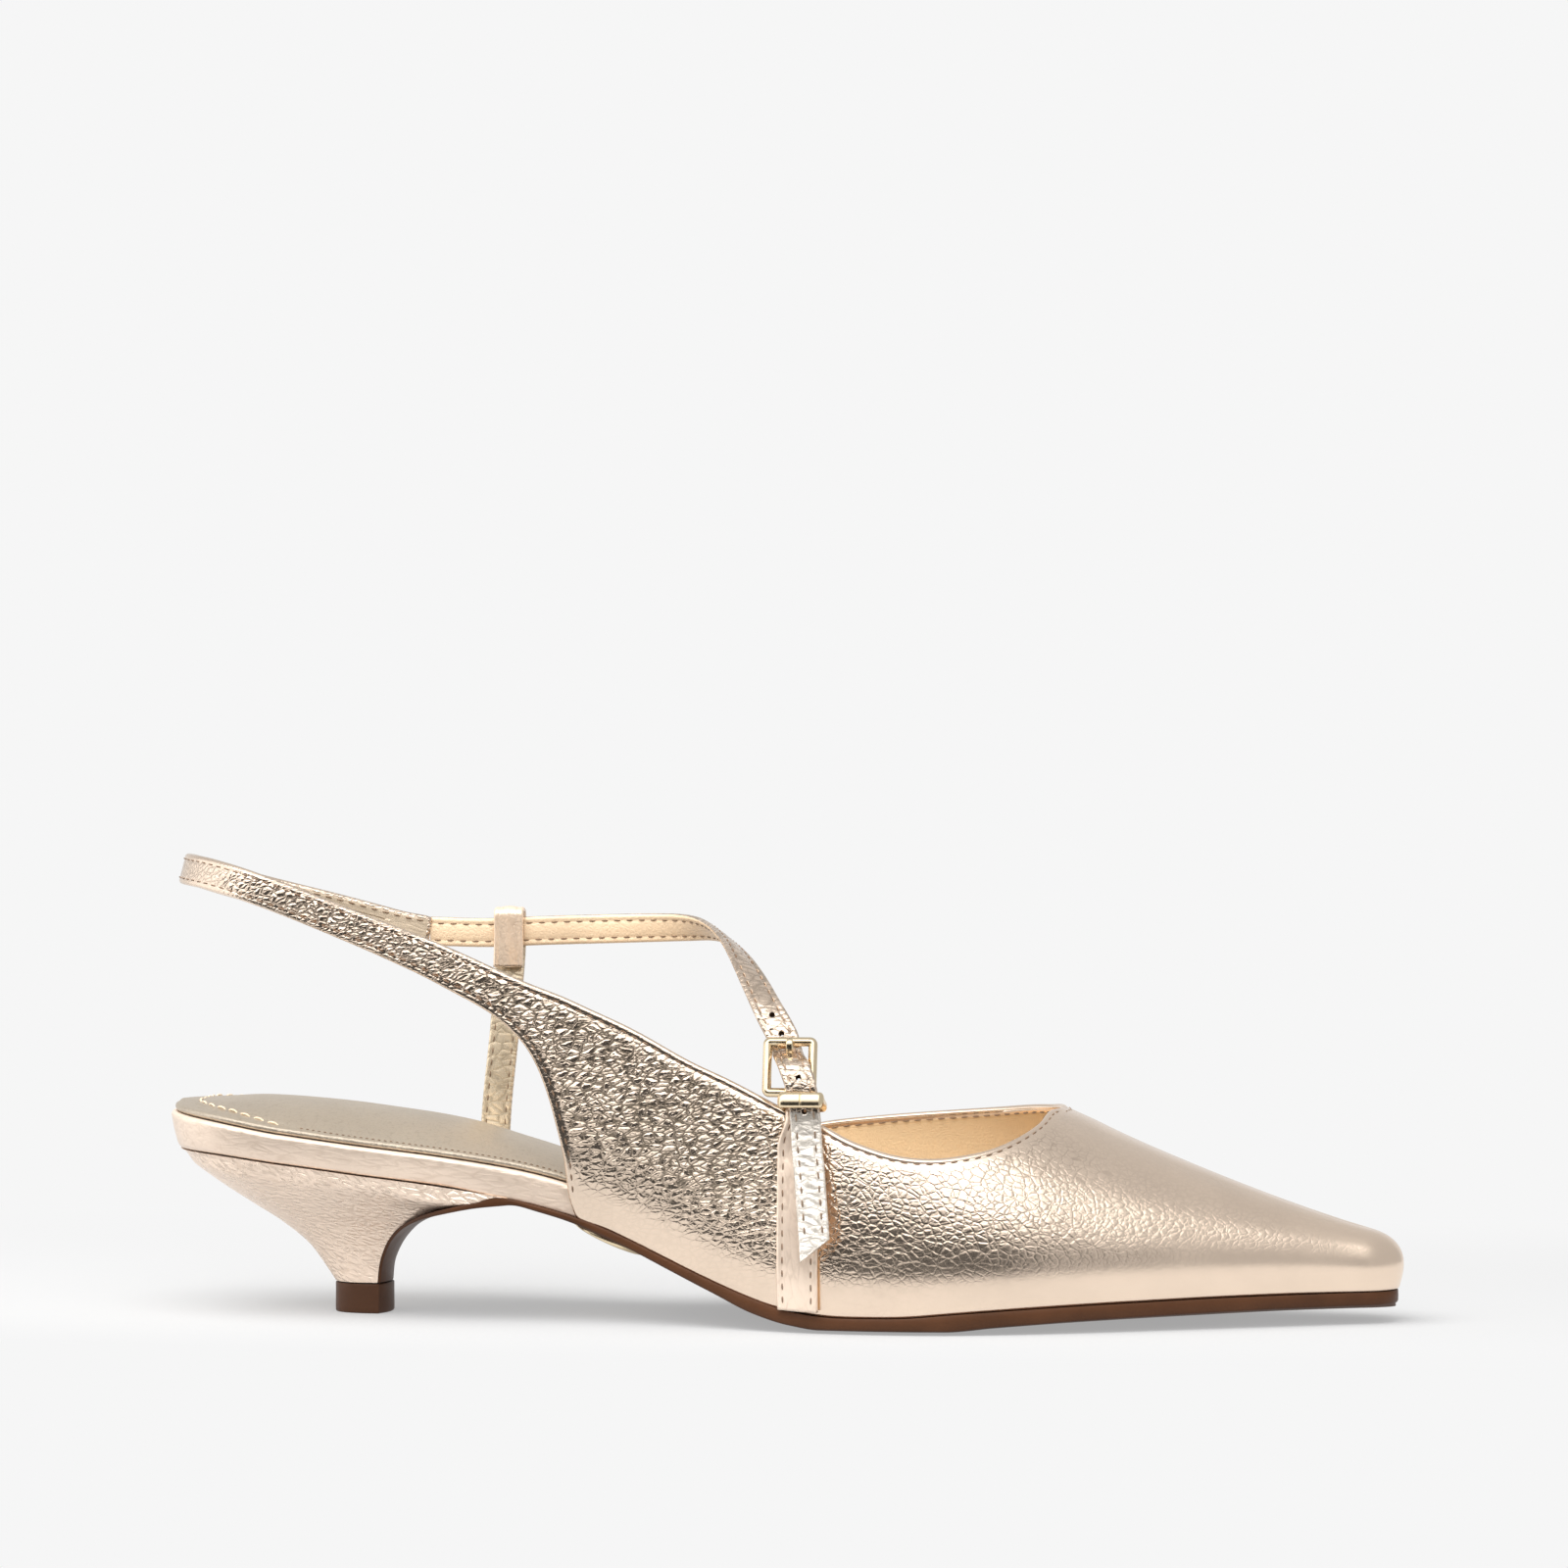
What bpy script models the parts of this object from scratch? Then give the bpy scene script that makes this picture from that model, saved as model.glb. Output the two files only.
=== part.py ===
"""Slingback court shoe for the right foot, on a low curved heel.

Lengths below are millimetres.  x runs from the back of the heel seat to the toe,
-y is the outer (lateral) side, +y the inner (medial) side, z is up from the floor.
The finished parts are moved so that the middle of the box they fill stands at x = y = 0.
"""
import math

import bmesh
import bpy
import numpy as np

MM = 0.001

# ------------------------------------------------------------------ named sizes
GAP = 0.3                 # clearance between neighbouring pieces
UPPER_WALL = 1.5          # leather and lining of the upper
UPPER_OUT = GAP + 0.05 + UPPER_WALL
HEEL_X = 0.3              # back of the board at its bottom edge
TOE_X = 260.0             # front of the board
HEEL_ROUND = (26.0, 2.2)  # length and power of the rounded seat
TOE_ROUND = (6.5, 2.6)    # length and power of the snipped toe
RIDGE_END = 252.0         # where the ridge of the vamp meets the toe fan
FAN_START = 218.0
TIP_BULGE = 1.3           # toe wall stands this far over its own feather edge

RIM_FLARE = 1.5           # rim of the seat leans out this much
SOCK_EDGE = 1.3
SOCK_INSET = 1.3

STRAP_W = 6.4
STRAP_T = 1.3
STRIP_T = 1.2
LOOP_T = 1.2
BAR_R = 0.8               # buckle wire
FRAME_W = 10.0            # between wire centres
FRAME_H = 10.2
HINGE_X = 135.9
HINGE_Z = 48.7
HINGE_OUT = 3.7           # hinge wire centre, out from the upper
KEEPER_X = 138.9
KEEPER_Z = 46.3
TOP_PIECE_H = 6.3
DISC_R = 8.5
DISC_T = 1.2
DISC_X = 94.5

# x, swing of the centre line to the inner side, half width of the board
PLAN = [(0.3, 0.0, 25.2), (25, 0.0, 25.4), (45, -0.5, 25.8), (70, -1.5, 23.6),
        (95, -2.6, 21.6), (120, -3.2, 25.8), (150, -2.0, 33.4), (170, -0.2, 34.9),
        (195, 1.2, 29.4), (220, 2.0, 20.2), (240, 2.6, 12.6), (254, 3.2, 7.6), (260, 3.4, 5.8)]
# x, height of the feather edge (bottom of the board)
BED = [(0.3, 35.6), (10, 35.2), (27, 33.3), (44, 31.2), (61, 29.1), (77, 26.4), (88, 23.6),
       (98, 20.0), (109, 15.0), (119, 10.6), (129, 6.8), (137, 4.6), (146, 3.7), (158, 3.8),
       (170, 4.7), (185, 5.6), (205, 6.4), (230, 7.0), (262, 7.3)]
# x, thickness of the board, rise of the sock's middle over its edge
SEAT = [(0.3, 7.8, 0.4), (10, 7.0, 2.0), (18, 6.5, 3.6), (27, 6.1, 4.7), (40, 6.0, 5.2), (52, 6.0, 5.1),
        (62, 6.0, 4.7), (75, 6.0, 3.2), (92, 6.0, 2.0), (115, 3.6, 1.0), (140, 2.0, 0.5), (260, 2.0, 0.3)]
# x, ridge height of the upper, fullness of its section
CROWN = [(55, 118, 2.2), (105, 96, 2.2), (120, 86, 2.2), (140, 73.5, 2.2), (160, 61.8, 2.2),
         (175, 53.4, 2.2), (189, 46.2, 2.2), (200, 40.6, 2.2), (215, 34.0, 2.2),
         (230, 28.0, 2.25), (245, 22.4, 2.3), (252, 19.9, 2.3)]
# x, height of the outer topline, y of the outer wall there
QUARTER = [(60, 80.4, -28.7), (75, 74.0, -29.2), (90, 67.9, -29.8), (105, 60.9, -30.6),
           (120, 53.0, -31.2), (135, 48.2, -31.6), (150, 39.3, -31.6)]
# bottom x and z of a column of the outer wall, top x and z; z 0 stands for the feather edge
OUTER = [(64.5, 69.9, 67.4, 77.5), (71.8, 66.0, 75.6, 73.8), (76.2, 62.7, 82, 71.1),
         (79.6, 59.3, 88, 68.8), (82.1, 55.4, 94, 66.1), (84.0, 51.0, 100, 63.4),
         (85.8, 45.3, 106, 60.4), (87.3, 39.0, 112, 57.0), (88.6, 32.0, 117.5, 54.2),
         (89.9, 0, 122.5, 52.0), (94, 0, 127, 49.8), (99, 0, 131, 47.8), (105, 0, 135, 45.9),
         (111, 0, 139, 44.2), (118, 0, 143.5, 42.3), (125, 0, 148, 40.0), (132, 0, 152.5, 38.3),
         (139, 0, 157, 37.0), (146, 0, 162, 36.2), (153, 0, 167, 36.0), (160, 0, 171.5, 36.5),
         (166, 0, 175.3, 37.4), (172, 0, 178.8, 39.0), (177.5, 0, 181.8, 41.1),
         (182.5, 0, 184.2, 42.9), (186.2, 0, 186.4, 44.5), (188.6, 0, 187.9, 45.6)]
# bottom x, top x and z of the inner wall, from the throat back to its end
INNER = [(188.6, 188.3, 46.25), (185.5, 186.4, 46.0), (180, 182.4, 45.3), (173.5, 177, 44.6),
         (166, 170, 43.8), (157, 160.5, 42.9), (148, 151, 42.0), (139.5, 142, 41.0),
         (132, 134, 39.5), (125, 126.5, 36.2), (118.5, 120, 31.4), (112, 113.5, 26.6),
         (106, 107.5, 23.6), (100.5, 102, 22.6)]
# x, y, z of the sling's middle line, width, lean of its top towards the ankle (degrees)
SLING = [(49.0, 26.3, 80.9, 6.6, 2), (43.5, 26.0, 81.9, 6.6, 2), (36, 25.4, 83.9, 6.6, 3), (27.4, 24.0, 86.2, 6.6, 4),
         (19, 21.6, 88.4, 6.6, 6), (11, 17.4, 90.7, 6.6, 9), (4.7, 11.0, 93.0, 6.6, 13),
         (1.4, 4.0, 94.7, 6.6, 15), (0.9, -3.0, 95.2, 6.6, 15), (3.6, -10.5, 95.0, 6.6, 13),
         (9.6, -17.6, 94.2, 6.6, 9), (18.6, -23.3, 92.0, 6.6, 6), (30, -26.2, 88.2, 6.5, 4),
         (46.5, -28.0, 81.9, 6.8, 3), (57, -28.6, 77.7, 7.4, 2)]
# x, y, z of the instep strap's middle line, and its outward normal
INSTEP = [(49.7, 26.3, 80.8, 0, 1, 0.05), (62, 26.7, 80.5, 0, 1, 0.05), (75, 27.0, 81.0, 0, 1, 0.05),
          (88, 26.9, 81.4, 0.03, 1, 0.08), (98, 25.9, 81.7, 0.14, 1, 0.18),
          (106, 22.6, 81.9, 0.36, 0.85, 0.38), (111.6, 17.0, 81.8, 0.5, 0.55, 0.62),
          (115.6, 9.0, 81.1, 0.58, 0.25, 0.76), (118.8, 0.0, 79.8, 0.6, 0.0, 0.8),
          (121.8, -8.0, 77.8, 0.56, -0.25, 0.75), (124.8, -15.0, 74.6, 0.46, -0.5, 0.68),
          (127.8, -21.0, 70.6, 0.34, -0.7, 0.56), (130.6, -25.8, 66.4, 0.24, -0.84, 0.42)]
# up from the hinge along the buckle, x, distance out from the plane of the buckle
STRAP_BUCKLE = [(12.4, 133.9, -2.5), (10.2, 134.6, -2.3), (8.8, 135.1, -1.8), (7.5, 135.7, -0.2),
                (6.2, 136.4, 1.55), (4.6, 137.2, 2.75), (1.5, 138.4, 3.2), (-1.0, 139.0, 2.8),
                (-3.0, 139.3, 1.85)]
# z, x of the hanging end of the strap, distance of its middle out from the upper
TAIL = [(42.0, 139.9, 4.3), (37.5, 140.4, 4.0), (33.0, 141.1, 4.2), (27.0, 141.9, 4.7),
        (22.5, 142.5, 5.2)]
TAIL_END = (17.6, 143.1, 5.9)
# x of the seat back, z there, x of the heel breast, z there, half width, share of seat outline
HEEL = [(34.0, 6.6, 44.3, 6.6, 6.6, 0.0), (31.7, 10.0, 44.8, 10.2, 7.3, 0.05),
        (28.4, 14.4, 46.3, 14.2, 9.2, 0.15), (22.7, 19.2, 49.4, 18.3, 12.8, 0.35),
        (16.2, 23.5, 54.5, 21.5, 17.0, 0.6), (9.5, 28.0, 61.5, 23.9, 20.9, 0.85),
        (3.9, 32.2, 68.5, 25.4, 24.0, 1.0), (0.5, 35.0, 75.5, 26.2, 25.2, 1.0)]
# x, height of the sole's bottom edge, crown below it, flat share of the half width
SOLE = [(80, 24.6, 1.0, 0.0), (88, 22.2, 1.6, 0.0), (98, 18.1, 1.9, 0.0), (109, 12.9, 1.9, 0.0),
        (119, 7.9, 1.6, 0.1), (128, 3.7, 1.1, 0.35), (136, 1.5, 0.8, 0.6), (142, 0.8, 0.8, 0.72),
        (168, 0.8, 0.8, 0.72), (178, 1.6, 0.8, 0.72), (195, 2.6, 0.8, 0.72), (215, 3.3, 0.8, 0.7),
        (240, 3.9, 0.8, 0.6), (262, 4.1, 0.8, 0.5)]
# share along the breast cover (0 seat, 1 tip), thickness at its edge, extra at its middle
BREAST = [(0.0, 0.9, 0.5), (0.5, 0.6, 0.5), (0.8, 0.5, 0.9), (1.0, 0.5, 1.3)]


# ------------------------------------------------------------------ curves through tables
def smooth(rows):
    """Monotone cubic through the rows of a table; returns a function of the first column."""
    data = np.array(rows, float)
    if data[0, 0] > data[-1, 0]:
        data = data[::-1]
    x, y = data[:, 0], data[:, 1:]
    h = np.diff(x)[:, None]
    d = np.diff(y, axis=0) / h
    m = np.zeros_like(y)
    m[0], m[-1] = d[0], d[-1]
    for i in range(1, len(x) - 1):
        w1, w2 = 2 * h[i] + h[i - 1], h[i] + 2 * h[i - 1]
        same = d[i - 1] * d[i] > 0
        with np.errstate(divide="ignore", invalid="ignore"):
            mean = (w1 + w2) / (w1 / d[i - 1] + w2 / d[i])
        m[i] = np.where(same, mean, 0.0)

    def value(t):
        t = min(max(float(t), x[0]), x[-1])
        i = int(min(np.searchsorted(x, t, side="right") - 1, len(x) - 2))
        s = (t - x[i]) / (x[i + 1] - x[i])
        a, b = y[i], y[i + 1]
        ma, mb = m[i] * h[i], m[i + 1] * h[i]
        out = ((2 * s ** 3 - 3 * s ** 2 + 1) * a + (s ** 3 - 2 * s ** 2 + s) * ma
               + (-2 * s ** 3 + 3 * s ** 2) * b + (s ** 3 - s ** 2) * mb)
        return out if len(out) > 1 else float(out[0])
    return value


def spline(points, step):
    """Catmull-Rom through rows of numbers, sampled about every `step` of path length."""
    p = np.array(points, float)
    ext = np.vstack([2 * p[0] - p[1], p, 2 * p[-1] - p[-2]])
    out = []
    for i in range(1, len(ext) - 2):
        a, b, c, d = ext[i - 1:i + 3]
        n = max(1, int(round(np.linalg.norm((c - b)[:3]) / step)))
        for k in range(n):
            s = k / n
            out.append(0.5 * (2 * b + (c - a) * s + (2 * a - 5 * b + 4 * c - d) * s ** 2
                              + (3 * b - a - 3 * c + d) * s ** 3))
    out.append(p[-1])
    return np.array(out)


def unit(v):
    v = np.asarray(v, float)
    return v / np.linalg.norm(v)


def ease(t):
    t = min(max(t, 0.0), 1.0)
    return t * t * (3 - 2 * t)


plan, bed, crown_of = smooth(PLAN), smooth(BED), smooth(CROWN)
quarter, sole_of = smooth(QUARTER), smooth(SOLE)


def round_end(distance, length, power):
    s = min(max(distance / length, 0.0), 1.0)
    return (1 - (1 - s) ** power) ** (1 / power)


def half_width(x):
    return (plan(x)[1] * round_end(x - HEEL_X, *HEEL_ROUND) * round_end(TOE_X - x, *TOE_ROUND))


def outline(x, side, grow=0.0):
    """Point of the board outline at x, pushed out by `grow` along its plan normal."""
    e = 0.02
    x = min(max(x, HEEL_X), TOE_X)
    y = plan(x)[0] + side * half_width(x)
    if grow == 0.0:
        return np.array([x, y])
    if x <= HEEL_X:
        return np.array([x - grow, y])
    if x >= TOE_X:
        return np.array([x + grow, y])
    lo, hi = max(x - e, HEEL_X), min(x + e, TOE_X)
    dy = (plan(hi)[0] - plan(lo)[0]) + side * (half_width(hi) - half_width(lo))
    n = unit((-dy, hi - lo)) * side
    return np.array([x, y]) + grow * n


# ------------------------------------------------------------------ outer surface of the upper
def wall_param(x, z):
    zf, (zc, n) = bed(x), crown_of(x)
    b = min(max((z - zf) / (zc - zf), 0.0), 1.0)
    return math.asin(b ** (n / 2)) / (math.pi / 2)


def wall_height(x, v):
    zf, (zc, n) = bed(x), crown_of(x)
    return zf + (zc - zf) * math.sin(math.pi / 2 * v) ** (2 / n)


def last_y(x, z, side):
    """y of the last at x and height z."""
    n = crown_of(x)[1]
    v = wall_param(x, z)
    foot = outline(x, side, UPPER_OUT)[1]
    mid = plan(x)[0]
    full = 1.2 * math.sin(math.pi * min(v / 0.8, 1.0)) * side
    return mid + (foot - mid) * math.cos(math.pi / 2 * v) ** (2 / n) + full


def quarter_y(x, z):
    top, y_top = quarter(x)
    zf = bed(x)
    s = (z - zf) / (top - zf)
    y_low = outline(x, -1, UPPER_OUT)[1]
    return y_low + (y_top - y_low) * max(s, 0.0) ** 0.8 - 1.6 * math.sin(math.pi * min(max(s, 0), 1))


def outer_y(x, z):
    w = ease((x - 100) / 50)
    if w >= 1:
        return last_y(x, z, -1)
    q = quarter_y(x, z)
    return q if w <= 0 else (1 - w) * q + w * last_y(x, z, -1)


def outer_point(x, z, out=0.0):
    """Point on the outer wall at x, z, lifted off it by `out`."""
    e = 0.05
    p = np.array([x, outer_y(x, z), z])
    dx = np.array([2 * e, outer_y(x + e, z) - outer_y(x - e, z), 0])
    dz = np.array([0, outer_y(x, z + e) - outer_y(x, z - e), 2 * e])
    n = unit(np.cross(dx, dz))
    return p + out * n, n


def fan_column(x, side, rows):
    """Column of the vamp from the feather edge to the ridge; fans round the toe."""
    if x <= FAN_START:
        rx = x
    else:
        t = (x - FAN_START) / (TOE_X - FAN_START)
        span = RIDGE_END - FAN_START
        a = (TOE_X - FAN_START) / span
        rx = FAN_START + span * (a * t + (1 - a) * t * t)
    foot = outline(x, side, UPPER_OUT)
    ridge = np.array([rx, plan(rx)[0]])
    zc, n = crown_of(rx)
    zf = bed(foot[0])
    if x >= TOE_X:
        push = np.array([1.0, 0.0])
    else:
        push = unit(outline(x, side, 1.0) - outline(x, side, 0.0))
    out = []
    for j in range(rows + 1):
        v = j / rows
        c, s = math.cos(math.pi / 2 * v), math.sin(math.pi / 2 * v)
        a = 1 - c ** (2 / n)
        xy = foot + (ridge - foot) * a
        if v < 0.8:
            xy = xy + push * TIP_BULGE * math.sin(math.pi * v / 0.8)
        out.append((xy[0], xy[1], zf + (zc - zf) * s ** (2 / n)))
    return out


def outer_column(xb, zb, xt, zt, rows):
    vb = wall_param(xb, zb) if zb else 0.0
    vt = wall_param(xt, zt)
    out = []
    for j in range(rows + 1):
        f = j / rows
        x = xb + (xt - xb) * f
        z = wall_height(x, vb + (vt - vb) * f)
        out.append((x, outer_y(x, z), z))
    return out


def inner_column(xb, xt, zt, rows):
    vt = wall_param(xt, zt)
    out = []
    for j in range(rows + 1):
        f = j / rows
        x = xb + (xt - xb) * f
        z = wall_height(x, vt * f)
        out.append((x, last_y(x, z, 1), z))
    return out


def sling_columns(rows, step):
    path = spline(SLING, step)
    out = []
    for i, row in enumerate(path):
        a, b = path[max(i - 1, 0)], path[min(i + 1, len(path) - 1)]
        t = unit(b[:3] - a[:3])
        flat = unit((t[1], -t[0], 0))
        lean = math.radians(row[4])
        n = flat * math.cos(lean) + np.array([0, 0, math.sin(lean)])
        w = unit(np.cross(n, t))
        out.append([tuple(row[:3] + w * row[3] * (j / rows - 0.5)) for j in range(rows + 1)])
    return out


# ------------------------------------------------------------------ mesh helpers
SHOE = "slingback_shoe"
for old in list(bpy.data.objects):
    bpy.data.objects.remove(old, do_unlink=True)
shoe = bpy.data.collections.new(SHOE)
cutters = bpy.data.collections.new("cutters")
bpy.context.scene.collection.children.link(shoe)
bpy.context.scene.collection.children.link(cutters)


def material(name, colour, rough, metal):
    m = bpy.data.materials.new(name)
    m.use_nodes = True
    b = m.node_tree.nodes["Principled BSDF"]
    b.inputs["Base Color"].default_value = (*colour, 1)
    b.inputs["Roughness"].default_value = rough
    b.inputs["Metallic"].default_value = metal
    return m


LEATHER = (0.72, 0.55, 0.40)
BROWN = (0.115, 0.048, 0.024)
GOLD = (0.86, 0.68, 0.45)


def finish_mesh(name, bm, mat, collection=None):
    bmesh.ops.remove_doubles(bm, verts=bm.verts, dist=0.00001)
    bmesh.ops.recalc_face_normals(bm, faces=bm.faces)
    if bm.calc_volume(signed=True) < 0:
        bmesh.ops.reverse_faces(bm, faces=bm.faces)
    me = bpy.data.meshes.new(name)
    bm.to_mesh(me)
    bm.free()
    ob = bpy.data.objects.new(name, me)
    (collection or shoe).objects.link(ob)
    if mat:
        me.materials.append(mat)
    return ob


def add_verts(bm, points):
    return [bm.verts.new((p[0] * MM, p[1] * MM, p[2] * MM)) for p in points]


def face(bm, verts):
    kept = []
    for v in verts:
        if v not in kept:
            kept.append(v)
    if len(kept) > 2:
        try:
            bm.faces.new(kept)
        except ValueError:
            pass


def skin(name, sections, mat, collection=None):
    """Closed body through closed sections; a section with one point is a pole."""
    bm = bmesh.new()
    loops = [add_verts(bm, s) for s in sections]
    for a, b in zip(loops[:-1], loops[1:]):
        m = max(len(a), len(b))
        for k in range(m):
            k2 = (k + 1) % m
            face(bm, [a[k % len(a)], a[k2 % len(a)], b[k2 % len(b)], b[k % len(b)]])
    for end in (loops[0], loops[-1]):
        if len(end) > 1:
            face(bm, end)
    return finish_mesh(name, bm, mat, collection)


def ribbon_section(c, w, n, width, thick, soft=0.3):
    """Closed oblong section with eased corners, across a strap."""
    a, b, s = width / 2, thick / 2, min(soft, thick / 2.5)
    corner = [(a, b - s), (a - s, b), (0, b), (-a + s, b), (-a, b - s),
              (-a, -b + s), (-a + s, -b), (0, -b), (a - s, -b), (a, -b + s)]
    return [tuple(c + w * u + n * v) for u, v in corner]


def frames(points, normals):
    """Width direction and normal of a strap at each point of its path."""
    out = []
    for i, p in enumerate(points):
        t = unit(points[min(i + 1, len(points) - 1)] - points[max(i - 1, 0)])
        n = unit(normals[i] - np.dot(normals[i], t) * t)
        out.append((p, unit(np.cross(t, n)), n))
    return out


# ------------------------------------------------------------------ board, sock and outsole
def stations(x0, x1, middle, ends0, ends1):
    """x positions: crowded towards both rounded ends."""
    a = [x0 + HEEL_ROUND[0] * (1 - math.cos(math.pi / 2 * k / ends0)) for k in range(ends0)]
    b = [x1 - TOE_ROUND[0] * (1 - math.cos(math.pi / 2 * k / ends1)) for k in range(ends1)][::-1]
    return a + list(np.linspace(x0 + HEEL_ROUND[0], x1 - TOE_ROUND[0] - 1.5, middle)) + b


ACROSS = (0.86, 0.45, 0.0, -0.45, -0.86)


def plank(name, mat, xs, rings_low, rings_high, low, high):
    """Body on the plan outline.

    rings_low and rings_high are (growth, height) functions for the edge, bottom and top;
    low and high give the height of the two faces at x and share q of the half width.
    """
    sections = []
    for i, x in enumerate(xs):
        edge = []
        for grow, height in rings_low[::-1] + rings_high:
            edge.append((grow(x), height(x)))
        if i in (0, len(xs) - 1):
            pts = [outline(x, 1, g) for g, _ in edge]
            sections.append([(p[0], p[1], h) for p, (_, h) in zip(pts, edge)])
            continue
        left = [(*outline(x, -1, g), h) for g, h in edge]
        right = [(*outline(x, 1, g), h) for g, h in edge]
        top_l, top_r = np.array(left[-1]), np.array(right[-1])
        low_l, low_r = np.array(left[0]), np.array(right[0])
        over, under = [], []
        for q in ACROSS:
            p = top_l * (1 + q) / 2 + top_r * (1 - q) / 2
            over.append((p[0], p[1], high(x, q)))
            p = low_l * (1 + q) / 2 + low_r * (1 - q) / 2
            under.append((p[0], p[1], low(x, q)))
        sections.append(left + over + right[::-1] + under[::-1])
    bm = bmesh.new()
    rows = [add_verts(bm, s) for s in sections]
    m = len(rows[1])
    e = len(rings_low) + len(rings_high)
    for a, b in zip(rows[1:-2], rows[2:-1]):
        for k in range(m):
            face(bm, [a[k], a[(k + 1) % m], b[(k + 1) % m], b[k]])
    for tip, ring in ((rows[0], rows[1]), (rows[-1], rows[-2])):
        for k in range(e - 1):
            face(bm, [ring[k], ring[k + 1], tip[k + 1], tip[k]])
            r = e + len(ACROSS) + e - 1 - k
            face(bm, [ring[r], ring[r - 1], tip[k + 1], tip[k]])
        for k in range(e - 1, e + len(ACROSS)):
            face(bm, [ring[k], ring[k + 1], tip[e - 1]])
        for k in range(m - len(ACROSS) - 1, m):
            face(bm, [ring[k], ring[(k + 1) % m], tip[0]])
    return finish_mesh(name, bm, mat)


seat = smooth(SEAT)


def board_thick(x):
    return seat(x)[0]


def flare(x):
    return RIM_FLARE * (1 - ease((x - 62) / 22))


def board_top(x):
    return bed(x) + board_thick(x)


def dome(x):
    return seat(x)[1]


def build_board():
    xs = stations(HEEL_X, TOE_X, 23, 7, 5)
    low = [(lambda x: -1.0, lambda x: bed(x)), (lambda x: -0.2, lambda x: bed(x) + 0.3)]
    high = [(lambda x: 0.75 * flare(x), lambda x: bed(x) + 0.68 * board_thick(x)),
            (lambda x: flare(x), lambda x: board_top(x) - 0.7),
            (lambda x: flare(x) - 0.35, lambda x: board_top(x) - 0.15),
            (lambda x: flare(x) - 0.9, lambda x: board_top(x))]
    return plank("insole_board", material("rim_leather", LEATHER, 0.34, 0.8), xs, low, high,
                 lambda x, q: bed(x), lambda x, q: board_top(x))


def build_sock():
    xs = stations(HEEL_X, TOE_X, 23, 7, 5)
    base = lambda x: board_top(x) + GAP
    low = [(lambda x: flare(x) - SOCK_INSET - 0.2, lambda x: base(x))]
    high = [(lambda x: flare(x) - SOCK_INSET, lambda x: base(x) + 0.65 * SOCK_EDGE),
            (lambda x: flare(x) - SOCK_INSET - 0.6, lambda x: base(x) + SOCK_EDGE)]
    return plank("insole", material("sock_leather", (0.66, 0.52, 0.37), 0.42, 0.6), xs, low, high,
                 lambda x, q: base(x),
                 lambda x, q: base(x) + SOCK_EDGE + dome(x) * (1 - abs(q) ** 2.4))


SOLE_OUT = 0.9
SOLE_ACROSS = (-0.9, -0.72, -0.45, 0.0, 0.45, 0.72, 0.9)


def sole_section(x):
    """Section of the outsole in the plane of constant x: top edge to top edge, under and back."""
    edge_z, crown, flat = sole_of(x)
    top = bed(x) - 0.4
    left, right = outline(x, -1, SOLE_OUT), outline(x, 1, SOLE_OUT)
    lo_l, lo_r = outline(x, -1, SOLE_OUT - 0.5), outline(x, 1, SOLE_OUT - 0.5)
    pts = [(left[0], left[1], top), (left[0], left[1], edge_z + 0.5)]
    for q in SOLE_ACROSS:
        xy = lo_l * (1 - q) / 2 + lo_r * (1 + q) / 2
        r = max(0.0, (abs(q) - flat) / (1 - flat))
        pts.append((xy[0], xy[1], edge_z - crown * (1 - min(r, 1) ** 2)))
    pts += [(right[0], right[1], edge_z + 0.5), (right[0], right[1], top)]
    for q in (0.6, 0.0, -0.6):
        xy = left * (1 - q) / 2 + right * (1 + q) / 2
        pts.append((xy[0], xy[1], top))
    return pts


def heel_row(k):
    """Row of the heel table at a whole or part number k, 0 at the tip."""
    t = smooth([(i, *r) for i, r in enumerate(HEEL)])
    return t(k)


HEEL_STEPS = [0, 0.5, 1, 1.5, 2, 2.5, 3, 3.5, 4, 4.5, 5, 5.5, 6, 6.5, 7]


def breast_sections():
    """Outsole where it turns down the breast of the heel, from the seat to the tip."""
    rows = [heel_row(k) for k in HEEL_STEPS][::-1]
    cover = smooth(BREAST)
    path = np.array([(r[2], r[3]) for r in rows])
    out = []
    for i, r in enumerate(rows):
        t = unit(path[min(i + 1, len(path) - 1)] - path[max(i - 1, 0)])
        n = np.array([-t[1], t[0]])            # away from the heel block
        if n[0] < 0 and n[1] > 0:
            n = -n
        edge, mid = cover(i / (len(rows) - 1))
        h = heel_front_half(r)
        lat, med = h
        a = path[i] + n * (GAP + 0.05)
        pts = [(a[0], lat, a[1])]
        b = a + n * 0.5 * edge
        pts.append((b[0], lat, b[1]))
        for q in SOLE_ACROSS:
            y = lat * (1 - q) / 2 + med * (1 + q) / 2
            d = a + n * (edge + mid * (1 - q * q))
            pts.append((d[0], y, d[1]))
        pts += [(b[0], med, b[1]), (a[0], med, a[1])]
        for q in (0.6, 0.0, -0.6):
            pts.append((a[0], lat * (1 - q) / 2 + med * (1 + q) / 2, a[1]))
        out.append([(x, y, max(z, HEEL[0][1] + 0.05)) for x, y, z in pts])
    return out


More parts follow.
